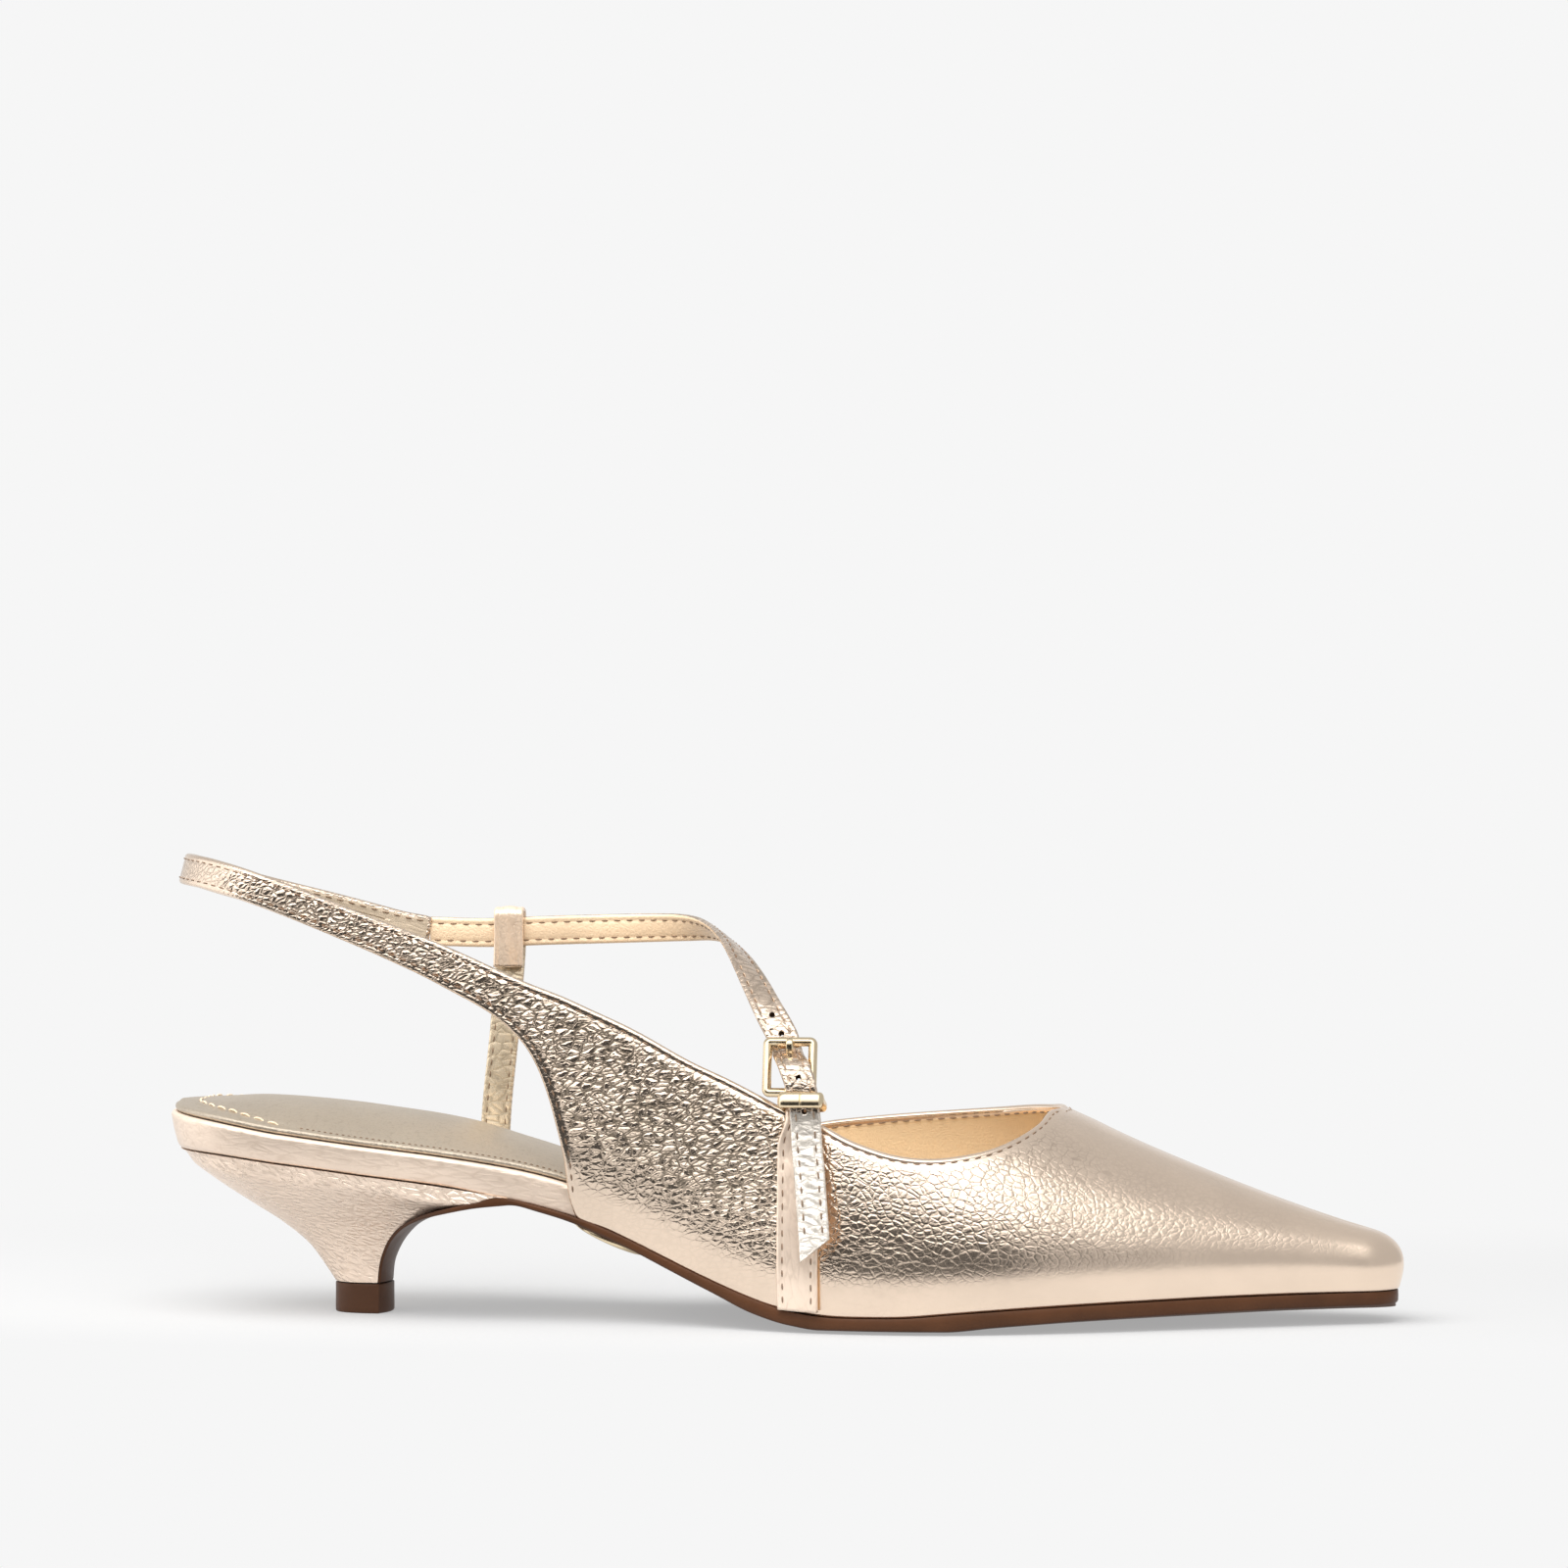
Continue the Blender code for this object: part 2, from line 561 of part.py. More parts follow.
def build_outsole():
    xs = [x for x in stations(HEEL_X, TOE_X, 46, 4, 6) if x > 80.0]
    sections = breast_sections()[::-1] + [sole_section(x) for x in xs[:-1]]
    tip = outline(TOE_X, 1, SOLE_OUT)
    edge_z, crown, flat = sole_of(TOE_X)
    bm = bmesh.new()
    loops = [add_verts(bm, s) for s in sections]
    m = len(loops[0])
    for a, b in zip(loops[:-1], loops[1:]):
        for k in range(m):
            face(bm, [a[k], a[(k + 1) % m], b[(k + 1) % m], b[k]])
    face(bm, loops[0])
    last = loops[-1]
    top, side = add_verts(bm, [(tip[0], tip[1], bed(TOE_X) - 0.4), (tip[0], tip[1], edge_z + 0.5)])
    under = add_verts(bm, [(tip[0] - 0.7, tip[1], edge_z)])[0]
    across = len(SOLE_ACROSS)
    face(bm, [last[0], last[1], side, top])
    face(bm, [last[across + 3], last[across + 2], side, top])
    face(bm, [last[1], last[2], under, side])
    face(bm, [last[across + 2], last[across + 1], under, side])
    for k in range(2, across + 1):
        face(bm, [last[k], last[k + 1], under])
    for k in range(across + 3, m):
        face(bm, [last[k], last[(k + 1) % m], top])
    return finish_mesh("outsole", bm, material("sole_leather", BROWN, 0.38, 0.0))


# ------------------------------------------------------------------ heel
HEEL_SHARE = [0.0, 0.02, 0.06, 0.13, 0.22, 0.34, 0.48, 0.65, 0.83, 1.0]


def heel_outline(row, f):
    """Half widths (outer, inner) of the heel at share f from its back to its breast."""
    half, seat = row[4], row[5]
    d = half * round_end(f, 0.75, 2.0)
    x_seat = HEEL_X + f * (HEEL[-1][2] - HEEL_X)
    full = half_width(x_seat) / 25.2
    s = half * full
    swing = plan(x_seat)[0] * seat
    w = (1 - seat) * d + seat * s
    return swing - w, swing + w


def heel_front_half(row):
    return heel_outline(row, 1.0)


def build_heel():
    sections = []
    for k in HEEL_STEPS:
        row = heel_row(k)
        top = k == HEEL_STEPS[-1]
        pts = []
        for side in (0, 1):
            shares = HEEL_SHARE[::-1] if side == 0 else HEEL_SHARE[1:]
            for f in shares:
                x = row[0] + f * (row[2] - row[0])
                z = row[1] + f * (row[3] - row[1])
                if top:
                    z = bed(x) - GAP
                pts.append((x, heel_outline(row, f)[side], z))
        lat, med = heel_outline(row, 1.0)
        fz = bed(row[2]) - GAP if top else row[3]
        for q in (0.5, 0.0, -0.5):
            pts.append((row[2], lat * (1 - q) / 2 + med * (1 + q) / 2, fz))
        sections.append(pts)
    return skin("heel_block", sections, material("heel_leather", LEATHER, 0.32, 0.8))


def build_top_piece():
    row = heel_row(0)
    x0, x1, half = row[0], row[2], row[4] + 0.1
    pts = []
    for k in range(13):
        a = math.pi * k / 12
        pts.append((x1 + 0.3 - (x1 + 0.3 - x0) * math.sin(a) ** 0.8, -half * math.cos(a)))
    for k in range(1, 6):
        q = 1 - 2 * k / 6
        pts.append((x1 + 0.3 + 1.9 * (1 - q * q), half * q))
    low, high = 0.0, TOP_PIECE_H
    sections = []
    mid = (x0 + x1) / 2
    for z, s in ((low, 0.96), (low + 0.35, 1.0), (high - 0.2, 1.0), (high, 0.985)):
        sections.append([(mid + (x - mid) * s, y * s, z) for x, y in pts])
    return skin("heel_top_piece", sections, material("top_piece_rubber", (0.10, 0.055, 0.035), 0.5, 0.0))


def build_disc():
    z0 = sole_of(DISC_X)[0] - sole_of(DISC_X)[1]
    z1 = sole_of(DISC_X + 1)[0] - sole_of(DISC_X + 1)[1]
    slope = math.atan2(z1 - z0, 1.0)
    bm = bmesh.new()
    bmesh.ops.create_cone(bm, cap_ends=True, segments=28, radius1=DISC_R * MM, radius2=DISC_R * MM,
                          depth=DISC_T * MM)
    ob = finish_mesh("sole_disc", bm, material("disc_metal", GOLD, 0.3, 0.9))
    mod = ob.modifiers.new("edge", "BEVEL")
    mod.width = 0.25 * MM
    mod.segments = 1
    mod.limit_method = "ANGLE"
    ob.rotation_euler = (0, -slope, 0)
    down = np.array([math.sin(slope), 0, -math.cos(slope)])
    at = np.array([DISC_X, plan(DISC_X)[0], z0]) + down * (GAP + 0.25 + DISC_T / 2)
    ob.location = at * MM
    return ob


# ------------------------------------------------------------------ upper
UPPER_ROWS = 8


def build_upper():
    rows = UPPER_ROWS
    toe = [TOE_X - TOE_ROUND[0] * (1 - math.cos(math.pi / 2 * k / 5)) for k in range(6)][::-1]
    xs = list(np.linspace(190.0, TOE_X - TOE_ROUND[0] - 2.5, 16)) + toe
    lateral = (sling_columns(rows, 5.2)
               + [outer_column(*r, rows) for r in OUTER]
               + [fan_column(x, -1, rows) for x in xs])
    medial = ([fan_column(x, 1, rows) for x in xs[::-1]]
              + [inner_column(*r, rows) for r in INNER])
    bm = bmesh.new()
    for grid in (lateral, medial):
        cols = [add_verts(bm, c) for c in grid]
        for a, b in zip(cols[:-1], cols[1:]):
            for j in range(rows):
                face(bm, [a[j], b[j], b[j + 1], a[j + 1]])
    bmesh.ops.remove_doubles(bm, verts=bm.verts, dist=0.00005)
    bmesh.ops.recalc_face_normals(bm, faces=bm.faces)
    tip = max(bm.faces, key=lambda f: f.calc_center_median().x)
    if tip.normal.x < 0:
        bmesh.ops.reverse_faces(bm, faces=bm.faces)
    me = bpy.data.meshes.new("upper")
    bm.to_mesh(me)
    bm.free()
    me.materials.append(material("upper_leather", LEATHER, 0.33, 0.85))
    ob = bpy.data.objects.new("upper", me)
    shoe.objects.link(ob)
    mod = ob.modifiers.new("wall", "SOLIDIFY")
    mod.thickness = UPPER_WALL * MM
    mod.offset = -1
    mod.use_even_offset = True
    return ob


# ------------------------------------------------------------------ buckle plane
HINGE_FOOT, HINGE_N = outer_point(HINGE_X, HINGE_Z)
B_OUT = HINGE_N
B_UP = unit(np.cross(B_OUT, np.array([1.0, 0, 0])))
if B_UP[2] < 0:
    B_UP = -B_UP
B_FWD = unit(np.cross(B_UP, B_OUT))
if B_FWD[0] < 0:
    B_FWD = -B_FWD
HINGE = HINGE_FOOT + HINGE_OUT * B_OUT


def buckle_point(up, x, out):
    return HINGE + B_UP * up + B_FWD * ((x - HINGE_X) / B_FWD[0]) + B_OUT * out


def strap_rows():
    pts = [np.array(r[:3], float) for r in INSTEP]
    nrm = [np.array(r[3:], float) for r in INSTEP]
    for up, x, out in STRAP_BUCKLE:
        pts.append(buckle_point(up, x, out))
        nrm.append(B_OUT)
    for z, x, out in TAIL + [TAIL_END]:
        p, n = outer_point(x, z, out)
        pts.append(p)
        nrm.append(n)
    level = np.array([[0.0]] * len(INSTEP) + [[1.0]] * (len(pts) - len(INSTEP)))
    return np.hstack([np.array(pts), np.array(nrm), level])


def build_instep_strap():
    path = spline(strap_rows(), 4.0)
    fr = []
    for i, (c, w, n) in enumerate(frames(path[:, :3], path[:, 3:6])):
        # by the buckle the strap keeps its edges level with the buckle's bars
        k = min(max(path[i, 6], 0.0), 1.0)
        w = unit((1 - k) * w - k * B_FWD)
        t = unit(path[min(i + 1, len(path) - 1), :3] - path[max(i - 1, 0), :3])
        m = unit(np.cross(w, t))
        fr.append((c, w, m if np.dot(m, n) > 0 else -m))
    sections = [ribbon_section(c, w, n, STRAP_W, STRAP_T) for c, w, n in fr]
    # slanting end of the tail: the forward edge stops higher
    c, w, n = fr[-1]
    t = unit(fr[-1][0] - fr[-3][0])
    last = []
    for p in sections[-1]:
        u = np.dot(np.array(p) - c, w)
        last.append(tuple(np.array(p) + t * (u * -0.55)))
    if (last[0][2] - last[4][2]) * (last[0][0] - last[4][0]) < 0:
        last = [tuple(np.array(p) + t * (np.dot(np.array(p) - c, w) * 0.55)) for p in sections[-1]]
    sections[-1] = last
    strap = skin("instep_strap", sections, material("strap_leather", LEATHER, 0.33, 0.85))
    # slot for the prong
    a, b = buckle_point(4.6, HINGE_X, 0.0), buckle_point(10.0, HINGE_X, 0.0)
    ring = []
    for end in (a, b):
        ring.append([tuple(end + B_FWD * 1.2 * math.cos(q) + B_OUT * 1.0 * math.sin(q))
                     for q in np.linspace(0, 2 * math.pi, 12, endpoint=False)])
    cut = skin("prong_slot", ring, None, cutters)
    cut.hide_render = True
    cut.display_type = "WIRE"
    mod = strap.modifiers.new("slot", "BOOLEAN")
    mod.operation = "DIFFERENCE"
    mod.object = cut
    mod.solver = "EXACT"
    return strap


STRIP_LIFT = GAP + STRIP_T / 2


def build_side_strip():
    bottom = bed(138.0) + 0.5
    rows = []
    for k in range(12):
        z = bottom + (45.4 - bottom) * k / 11
        f = ease((z - 38) / 6)
        x = 138.0
        lift = STRIP_LIFT + (HINGE_OUT - BAR_R - GAP - STRIP_T / 2 - STRIP_LIFT) * ease((z - 36) / 8)
        p, n = outer_point(x, z, lift)
        rows.append((p, n, 8.9 + (5.6 - 8.9) * f))
    r = BAR_R + GAP + STRIP_T / 2
    rows.append((HINGE - B_UP * 1.25 + B_FWD * 2.2 - B_OUT * r, B_OUT, 5.6))
    straight = len(rows)
    for q in np.linspace(0, 150, 8):
        a = math.radians(q)
        c = HINGE + B_FWD * 0.6
        p = c + (-B_OUT * math.cos(a) + B_UP * math.sin(a)) * r
        rows.append((p, B_OUT * math.cos(a) - B_UP * math.sin(a), 6.0))
    pts = np.array([r_[0] for r_ in rows])
    fr = frames(pts, [-r_[1] if i >= straight else r_[1] for i, r_ in enumerate(rows)])
    sections = []
    ref = np.array([1.0, 0, 0])
    for (p, w, n), row in zip(fr, rows):
        t_w = unit(ref - np.dot(ref, n) * n)
        sections.append(ribbon_section(p, t_w, n, row[2], STRIP_T))
    fixed = [sections[0]]
    for s in sections[1:]:
        a, b = np.array(fixed[-1]), np.array(s)
        flip = np.array([s[i] for i in (9, 8, 7, 6, 5, 4, 3, 2, 1, 0)])
        fixed.append(s if np.abs(a - b).sum() <= np.abs(a - flip).sum() else [tuple(v) for v in flip])
    strip = skin("side_strip", fixed, material("strip_leather", LEATHER, 0.33, 0.85))
    # notch in the fold for the prong ring
    back, front = -4.5, 1.15
    lo, hi = -1.9, 3.6
    box = []
    for up in (lo, hi):
        box.append([tuple(HINGE + B_UP * up + B_FWD * sx + B_OUT * so)
                    for sx, so in ((back, -3.3), (front, -3.3), (front, 3.6), (back, 3.6))])
    cut = skin("fold_notch", box, None, cutters)
    cut.hide_render = True
    cut.display_type = "WIRE"
    mod = strip.modifiers.new("notch", "BOOLEAN")
    mod.operation = "DIFFERENCE"
    mod.object = cut
    mod.solver = "EXACT"
    return strip


def build_loop_strap():
    x_at = smooth([(20, 63.6), (40, 64.4), (62, 66.4), (80, 67.3), (90, 67.3)])
    strap = smooth([(r[0], r[1], r[2]) for r in INSTEP[:5]])
    y0, z0 = strap(67.3)
    r = STRAP_T / 2 + GAP + 0.15 + LOOP_T / 2
    top = z0 + STRAP_W / 2 + GAP + 1.5
    foot = outline(63.6, 1, flare(63.6))[1] + GAP + LOOP_T / 2
    path = [(foot + 0.2, bed(63.6) + 0.3), (foot + 0.2, bed(63.6) + 5.2),
            (foot + 0.4, bed(63.6) + 11), (y0 - 0.6, 56), (y0 + 0.2, 68), (y0 + r - 0.1, 76.5),
            (y0 + r, z0), (y0 + r, top - 1.0), (y0 + 0.72 * r, top - 0.25), (y0, top),
            (y0 - 0.72 * r, top - 0.25), (y0 - r, top - 1.0), (y0 - r, z0), (y0 - r, 77.2),
            (y0 - r + 0.15, 73.0)]
    path = spline([(p[0], p[1], 0) for p in path], 3.0)[:, :2]
    sections = []
    for i, (y, z) in enumerate(path):
        t = unit(path[min(i + 1, len(path) - 1)] - path[max(i - 1, 0)])
        n = np.array([0, -t[1], t[0]])
        c = np.array([x_at(z), y, z])
        sections.append(ribbon_section(c, np.array([1.0, 0, 0]), n, 6.6, LOOP_T))
    return skin("loop_strap", sections, material("loop_leather", LEATHER, 0.33, 0.85))


# ------------------------------------------------------------------ metal
def wire(name, points, radius, cyclic, mat, resolution=2):
    cu = bpy.data.curves.new(name, "CURVE")
    cu.dimensions = "3D"
    cu.bevel_depth = radius * MM
    cu.bevel_resolution = resolution
    cu.use_fill_caps = not cyclic
    sp = cu.splines.new("POLY")
    sp.points.add(len(points) - 1)
    for q, p in zip(sp.points, points):
        q.co = (p[0] * MM, p[1] * MM, p[2] * MM, 1)
    sp.use_cyclic_u = cyclic
    ob = bpy.data.objects.new(name, cu)
    shoe.objects.link(ob)
    cu.materials.append(mat)
    return ob


def rounded_oblong(w, h, r, seg):
    out = []
    for cx, cy, a0 in ((w / 2 - r, h / 2 - r, 0), (-w / 2 + r, h / 2 - r, 90),
                       (-w / 2 + r, -h / 2 + r, 180), (w / 2 - r, -h / 2 + r, 270)):
        for k in range(seg + 1):
            a = math.radians(a0 + 90 * k / seg)
            out.append((cx + r * math.cos(a), cy + r * math.sin(a)))
    return out


def build_frame():
    mid = HINGE + B_UP * FRAME_H / 2
    pts = [mid + B_FWD * a + B_UP * b for a, b in rounded_oblong(FRAME_W, FRAME_H, 0.9, 3)]
    return wire("buckle_frame", pts, BAR_R, True, material("buckle_metal", GOLD, 0.16, 1.0))


PRONG_R = 0.42
PRONG_FLAT = 1.8


def build_prong():
    r = BAR_R + GAP + 0.08 + PRONG_R
    pts = []
    for q in range(50, -251, -30):
        a = math.radians(q)
        pts.append(HINGE + (B_OUT * math.cos(a) + B_UP * math.sin(a)) * r)
    tail = [(2.7, -0.3), (4.2, 0.0), (7.2, 0.0), (8.4, 0.45), (9.3, 1.15), (9.9, 1.6), (10.5, 1.68)]
    pts += [HINGE + B_UP * u + B_OUT * o for u, o in tail]
    fr = frames(np.array(pts), [np.cross(B_FWD, pts[min(i + 1, len(pts) - 1)] - pts[max(i - 1, 0)])
                                for i in range(len(pts))])
    sections = []
    for i, (c, w, n) in enumerate(fr):
        r = PRONG_R * (0.7 if i == len(fr) - 1 else 1.0)
        sections.append([tuple(c + r * (w * PRONG_FLAT * math.cos(q) + n * math.sin(q)))
                         for q in np.linspace(0, 2 * math.pi, 8, endpoint=False)])
    return skin("buckle_prong", sections, material("prong_metal", GOLD, 0.16, 1.0))


def build_keeper():
    """Flat metal band bent round the strip and the strap."""
    base, n = outer_point(KEEPER_X, KEEPER_Z)
    up = unit(np.cross(n, np.array([1.0, 0, 0])))
    up = up if up[2] > 0 else -up
    fwd = unit(np.cross(up, n))
    fwd = fwd if fwd[0] > 0 else -fwd
    back, front, half_w = 0.35, 8.5, 4.8
    t_side, t_back, t_front = 0.8, 0.7, 1.1
    outer = rounded_oblong(2 * half_w, front - back, 1.5, 4)
    cy = (back + front) / 2
    sections = []
    for a, b in outer:
        ib = max(min(b + cy, front - t_front), back + t_back)
        ia = a * (half_w - t_side) / half_w
        o = np.array([a, b + cy])
        i = np.array([ia, ib])
        ring = []
        for f, s in ((0.0, -0.72), (0.3, -1.0), (1.0, -1.0), (1.0, 1.0), (0.3, 1.0), (0.0, 0.72)):
            q = o * (1 - f) + i * f
            height = 1.1 + 0.55 * ease((q[1] - 4.9) / 1.6)
            ring.append(base + fwd * q[0] + n * q[1] + up * height * s)
        sections.append([tuple(p) for p in ring])
    bm = bmesh.new()
    loops = [add_verts(bm, s) for s in sections]
    for a, b in zip(loops, loops[1:] + loops[:1]):
        for k in range(6):
            face(bm, [a[k], a[(k + 1) % 6], b[(k + 1) % 6], b[k]])
    return finish_mesh("buckle_keeper", bm, material("keeper_metal", GOLD, 0.16, 1.0))


# ------------------------------------------------------------------ assembly
build_upper()
build_outsole()
build_heel()
build_top_piece()
build_board()
build_sock()
build_side_strip()
build_loop_strap()
build_instep_strap()
build_frame()
build_prong()
build_keeper()
build_disc()

bpy.context.view_layer.update()
depsgraph = bpy.context.evaluated_depsgraph_get()
lo, hi = np.full(3, 1e9), np.full(3, -1e9)
for ob in shoe.objects:
    ev = ob.evaluated_get(depsgraph)
    me = ev.to_mesh()
    co = np.array([ev.matrix_world @ v.co for v in me.vertices])
    lo, hi = np.minimum(lo, co.min(axis=0)), np.maximum(hi, co.max(axis=0))
    ev.to_mesh_clear()
shift = -(lo + hi) / 2
for ob in list(shoe.objects) + list(cutters.objects):
    ob.location.x += shift[0]
    ob.location.y += shift[1]
    ob.location.z += -lo[2]
print("box", (hi - lo) / MM, "shift", shift / MM, "floor", lo[2] / MM)
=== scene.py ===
"""Looks for the slingback shoe: fine leather, straps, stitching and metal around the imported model."""

import math

import bmesh
import bpy
import numpy as np
from mathutils import Matrix, Vector, kdtree, noise


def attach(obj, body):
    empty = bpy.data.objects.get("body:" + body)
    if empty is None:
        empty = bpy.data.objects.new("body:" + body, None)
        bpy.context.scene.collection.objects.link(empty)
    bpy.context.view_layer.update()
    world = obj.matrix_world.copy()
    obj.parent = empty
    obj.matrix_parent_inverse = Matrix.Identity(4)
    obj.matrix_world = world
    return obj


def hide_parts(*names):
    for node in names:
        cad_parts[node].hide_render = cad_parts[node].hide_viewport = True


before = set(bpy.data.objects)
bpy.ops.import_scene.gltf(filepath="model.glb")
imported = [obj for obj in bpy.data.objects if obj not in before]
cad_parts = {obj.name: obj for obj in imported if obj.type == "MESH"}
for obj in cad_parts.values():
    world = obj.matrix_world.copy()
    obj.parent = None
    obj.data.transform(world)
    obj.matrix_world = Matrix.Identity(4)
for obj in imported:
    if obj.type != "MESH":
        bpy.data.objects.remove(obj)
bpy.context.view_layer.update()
rng = np.random.default_rng(11)

MM = 0.001
SHIFT = np.array([-130.549, 1.6136, 0.0])     # millimetres of the tables below to the row frame

# ------------------------------------------------------------------ sizes and tables of the part
GAP = 0.3
UPPER_WALL = 1.5
UPPER_OUT = GAP + 0.05 + UPPER_WALL
HEEL_X, TOE_X = 0.3, 260.0
HEEL_ROUND, TOE_ROUND = (26.0, 2.2), (6.5, 2.6)
RIDGE_END, FAN_START = 252.0, 218.0
TIP_BULGE, RIM_FLARE = 1.3, 1.5
SOCK_EDGE, SOCK_INSET = 1.3, 0.85
STRAP_W, STRAP_T, STRIP_T, LOOP_T = 6.4, 1.3, 1.2, 1.2
BAR_R, FRAME_W, FRAME_H = 0.8, 10.0, 10.2
HINGE_X, HINGE_Z, HINGE_OUT = 135.9, 48.7, 3.7
KEEPER_X, KEEPER_Z = 138.9, 46.3
TOP_PIECE_H, DISC_R, DISC_T, DISC_X = 6.3, 8.5, 1.2, 94.5
SOLE_OUT = 0.9

PLAN = [(0.3, 0.0, 25.2), (25, 0.0, 25.4), (45, -0.5, 25.8), (70, -1.5, 23.6),
        (95, -2.6, 21.6), (120, -3.2, 25.8), (150, -2.0, 33.4), (170, -0.2, 34.9),
        (195, 1.2, 29.4), (220, 2.0, 20.2), (240, 2.6, 12.6), (254, 3.2, 7.6), (260, 3.4, 5.8)]
BED = [(0.3, 35.6), (10, 35.2), (27, 33.3), (44, 31.2), (61, 29.1), (77, 26.4), (88, 23.6),
       (98, 20.0), (109, 15.0), (119, 10.6), (129, 6.8), (137, 4.6), (146, 3.7), (158, 3.8),
       (170, 4.7), (185, 5.6), (205, 6.4), (230, 7.0), (262, 7.3)]
SEAT = [(0.3, 7.8, 0.4), (10, 7.0, 2.0), (18, 6.5, 3.6), (27, 6.1, 4.7), (40, 6.0, 5.2), (52, 6.0, 5.1),
        (62, 6.0, 4.7), (75, 6.0, 3.2), (92, 6.0, 2.0), (115, 3.6, 1.0), (140, 2.0, 0.5), (260, 2.0, 0.3)]
CROWN = [(55, 118, 2.2), (105, 96, 2.2), (120, 86, 2.2), (140, 73.5, 2.2), (160, 61.8, 2.2),
         (175, 53.4, 2.2), (189, 46.2, 2.2), (200, 40.6, 2.2), (215, 34.0, 2.2),
         (230, 28.0, 2.25), (245, 22.4, 2.3), (252, 19.9, 2.3)]
QUARTER = [(60, 80.4, -28.7), (75, 74.0, -29.2), (90, 67.9, -29.8), (105, 60.9, -30.6),
           (120, 53.0, -31.2), (135, 48.2, -31.6), (150, 39.3, -31.6)]
OUTER = [(64.5, 69.9, 67.4, 77.5), (71.8, 66.0, 75.6, 73.8), (76.2, 62.7, 82, 71.1),
         (79.6, 59.3, 88, 68.8), (82.1, 55.4, 94, 66.1), (84.0, 51.0, 100, 63.4),
         (85.8, 45.3, 106, 60.4), (87.3, 39.0, 112, 57.0), (88.6, 32.0, 117.5, 54.2),
         (89.9, 0, 122.5, 52.0), (94, 0, 127, 49.8), (99, 0, 131, 47.8), (105, 0, 135, 45.9),
         (111, 0, 139, 44.2), (118, 0, 143.5, 42.3), (125, 0, 148, 40.0), (132, 0, 152.5, 38.3),
         (139, 0, 157, 37.0), (146, 0, 162, 36.2), (153, 0, 167, 36.1), (160, 0, 171.5, 36.6),
         (166, 0, 175.4, 37.3), (172, 0, 179.3, 38.4), (177.5, 0, 182.8, 39.9),
         (182.2, 0, 185.9, 41.6), (186.2, 0, 188.2, 43.4), (188.7, 0, 189.5, 44.75)]
INNER = [(188.7, 189.5, 44.75), (187.0, 188.1, 44.6), (183.8, 185.4, 44.4), (180, 182.0, 44.1), (173.5, 177, 43.5),
         (166, 170, 42.8), (157, 160.5, 42.0), (148, 151, 41.2), (139.5, 142, 40.3),
         (132, 134, 39.0), (125, 126.5, 36.0), (118.5, 120, 31.4), (112, 113.5, 26.6),
         (106, 107.5, 23.6), (100.5, 102, 22.6)]
SLING = [(49.0, 26.3, 80.9, 6.6, 2), (43.5, 26.0, 81.9, 6.6, 2), (36, 25.4, 83.9, 6.6, 3), (27.4, 24.0, 86.2, 6.6, 4),
         (19, 21.6, 88.4, 6.6, 6), (11, 17.4, 90.7, 6.6, 9), (4.7, 11.0, 93.0, 6.6, 13),
         (1.4, 4.0, 94.7, 6.6, 15), (0.9, -3.0, 95.2, 6.6, 15), (3.6, -10.5, 95.0, 6.6, 13),
         (9.6, -17.6, 94.2, 6.6, 9), (18.6, -23.3, 92.0, 6.6, 6), (30, -26.2, 88.2, 6.5, 4),
         (46.5, -28.0, 81.9, 6.8, 3), (57, -28.6, 77.7, 7.4, 2)]
INSTEP = [(49.7, 26.3, 80.8, 0, 1, 0.05), (62, 26.7, 80.5, 0, 1, 0.05), (75, 27.0, 81.0, 0, 1, 0.05),
          (88, 26.9, 81.4, 0.03, 1, 0.08), (98, 25.9, 81.7, 0.14, 1, 0.18),
          (106, 22.6, 81.9, 0.36, 0.85, 0.38), (111.6, 17.0, 81.8, 0.5, 0.55, 0.62),
          (115.6, 9.0, 81.1, 0.58, 0.25, 0.76), (118.8, 0.0, 79.8, 0.6, 0.0, 0.8),
          (121.8, -8.0, 77.8, 0.56, -0.25, 0.75), (124.8, -15.0, 74.6, 0.46, -0.5, 0.68),
          (127.8, -21.0, 70.6, 0.34, -0.7, 0.56), (130.6, -25.8, 66.4, 0.24, -0.84, 0.42)]
STRAP_BUCKLE = [(12.4, 133.9, -2.5), (10.2, 134.6, -2.3), (8.8, 135.1, -1.8), (7.5, 135.7, -0.2),
                (6.2, 136.4, 1.55), (4.6, 137.2, 2.75), (1.5, 138.4, 3.2), (-1.0, 139.0, 2.8),
                (-3.0, 139.3, 1.85)]
TAIL = [(42.0, 139.9, 4.3), (37.5, 140.4, 4.0), (33.0, 141.1, 4.2), (27.0, 141.9, 4.7),
        (22.5, 142.5, 5.2)]
TAIL_END = (17.6, 143.1, 5.9)
HEEL = [(34.0, 6.6, 44.3, 6.6, 6.6, 0.0), (31.7, 10.0, 44.8, 10.2, 7.3, 0.05),
        (28.4, 14.4, 46.3, 14.2, 9.2, 0.15), (22.7, 19.2, 49.4, 18.3, 12.8, 0.35),
        (16.2, 23.5, 54.5, 21.5, 17.0, 0.6), (9.5, 28.0, 61.5, 23.9, 20.9, 0.85),
        (3.9, 32.2, 68.5, 25.4, 24.0, 1.0), (0.5, 35.0, 75.5, 26.2, 25.2, 1.0)]
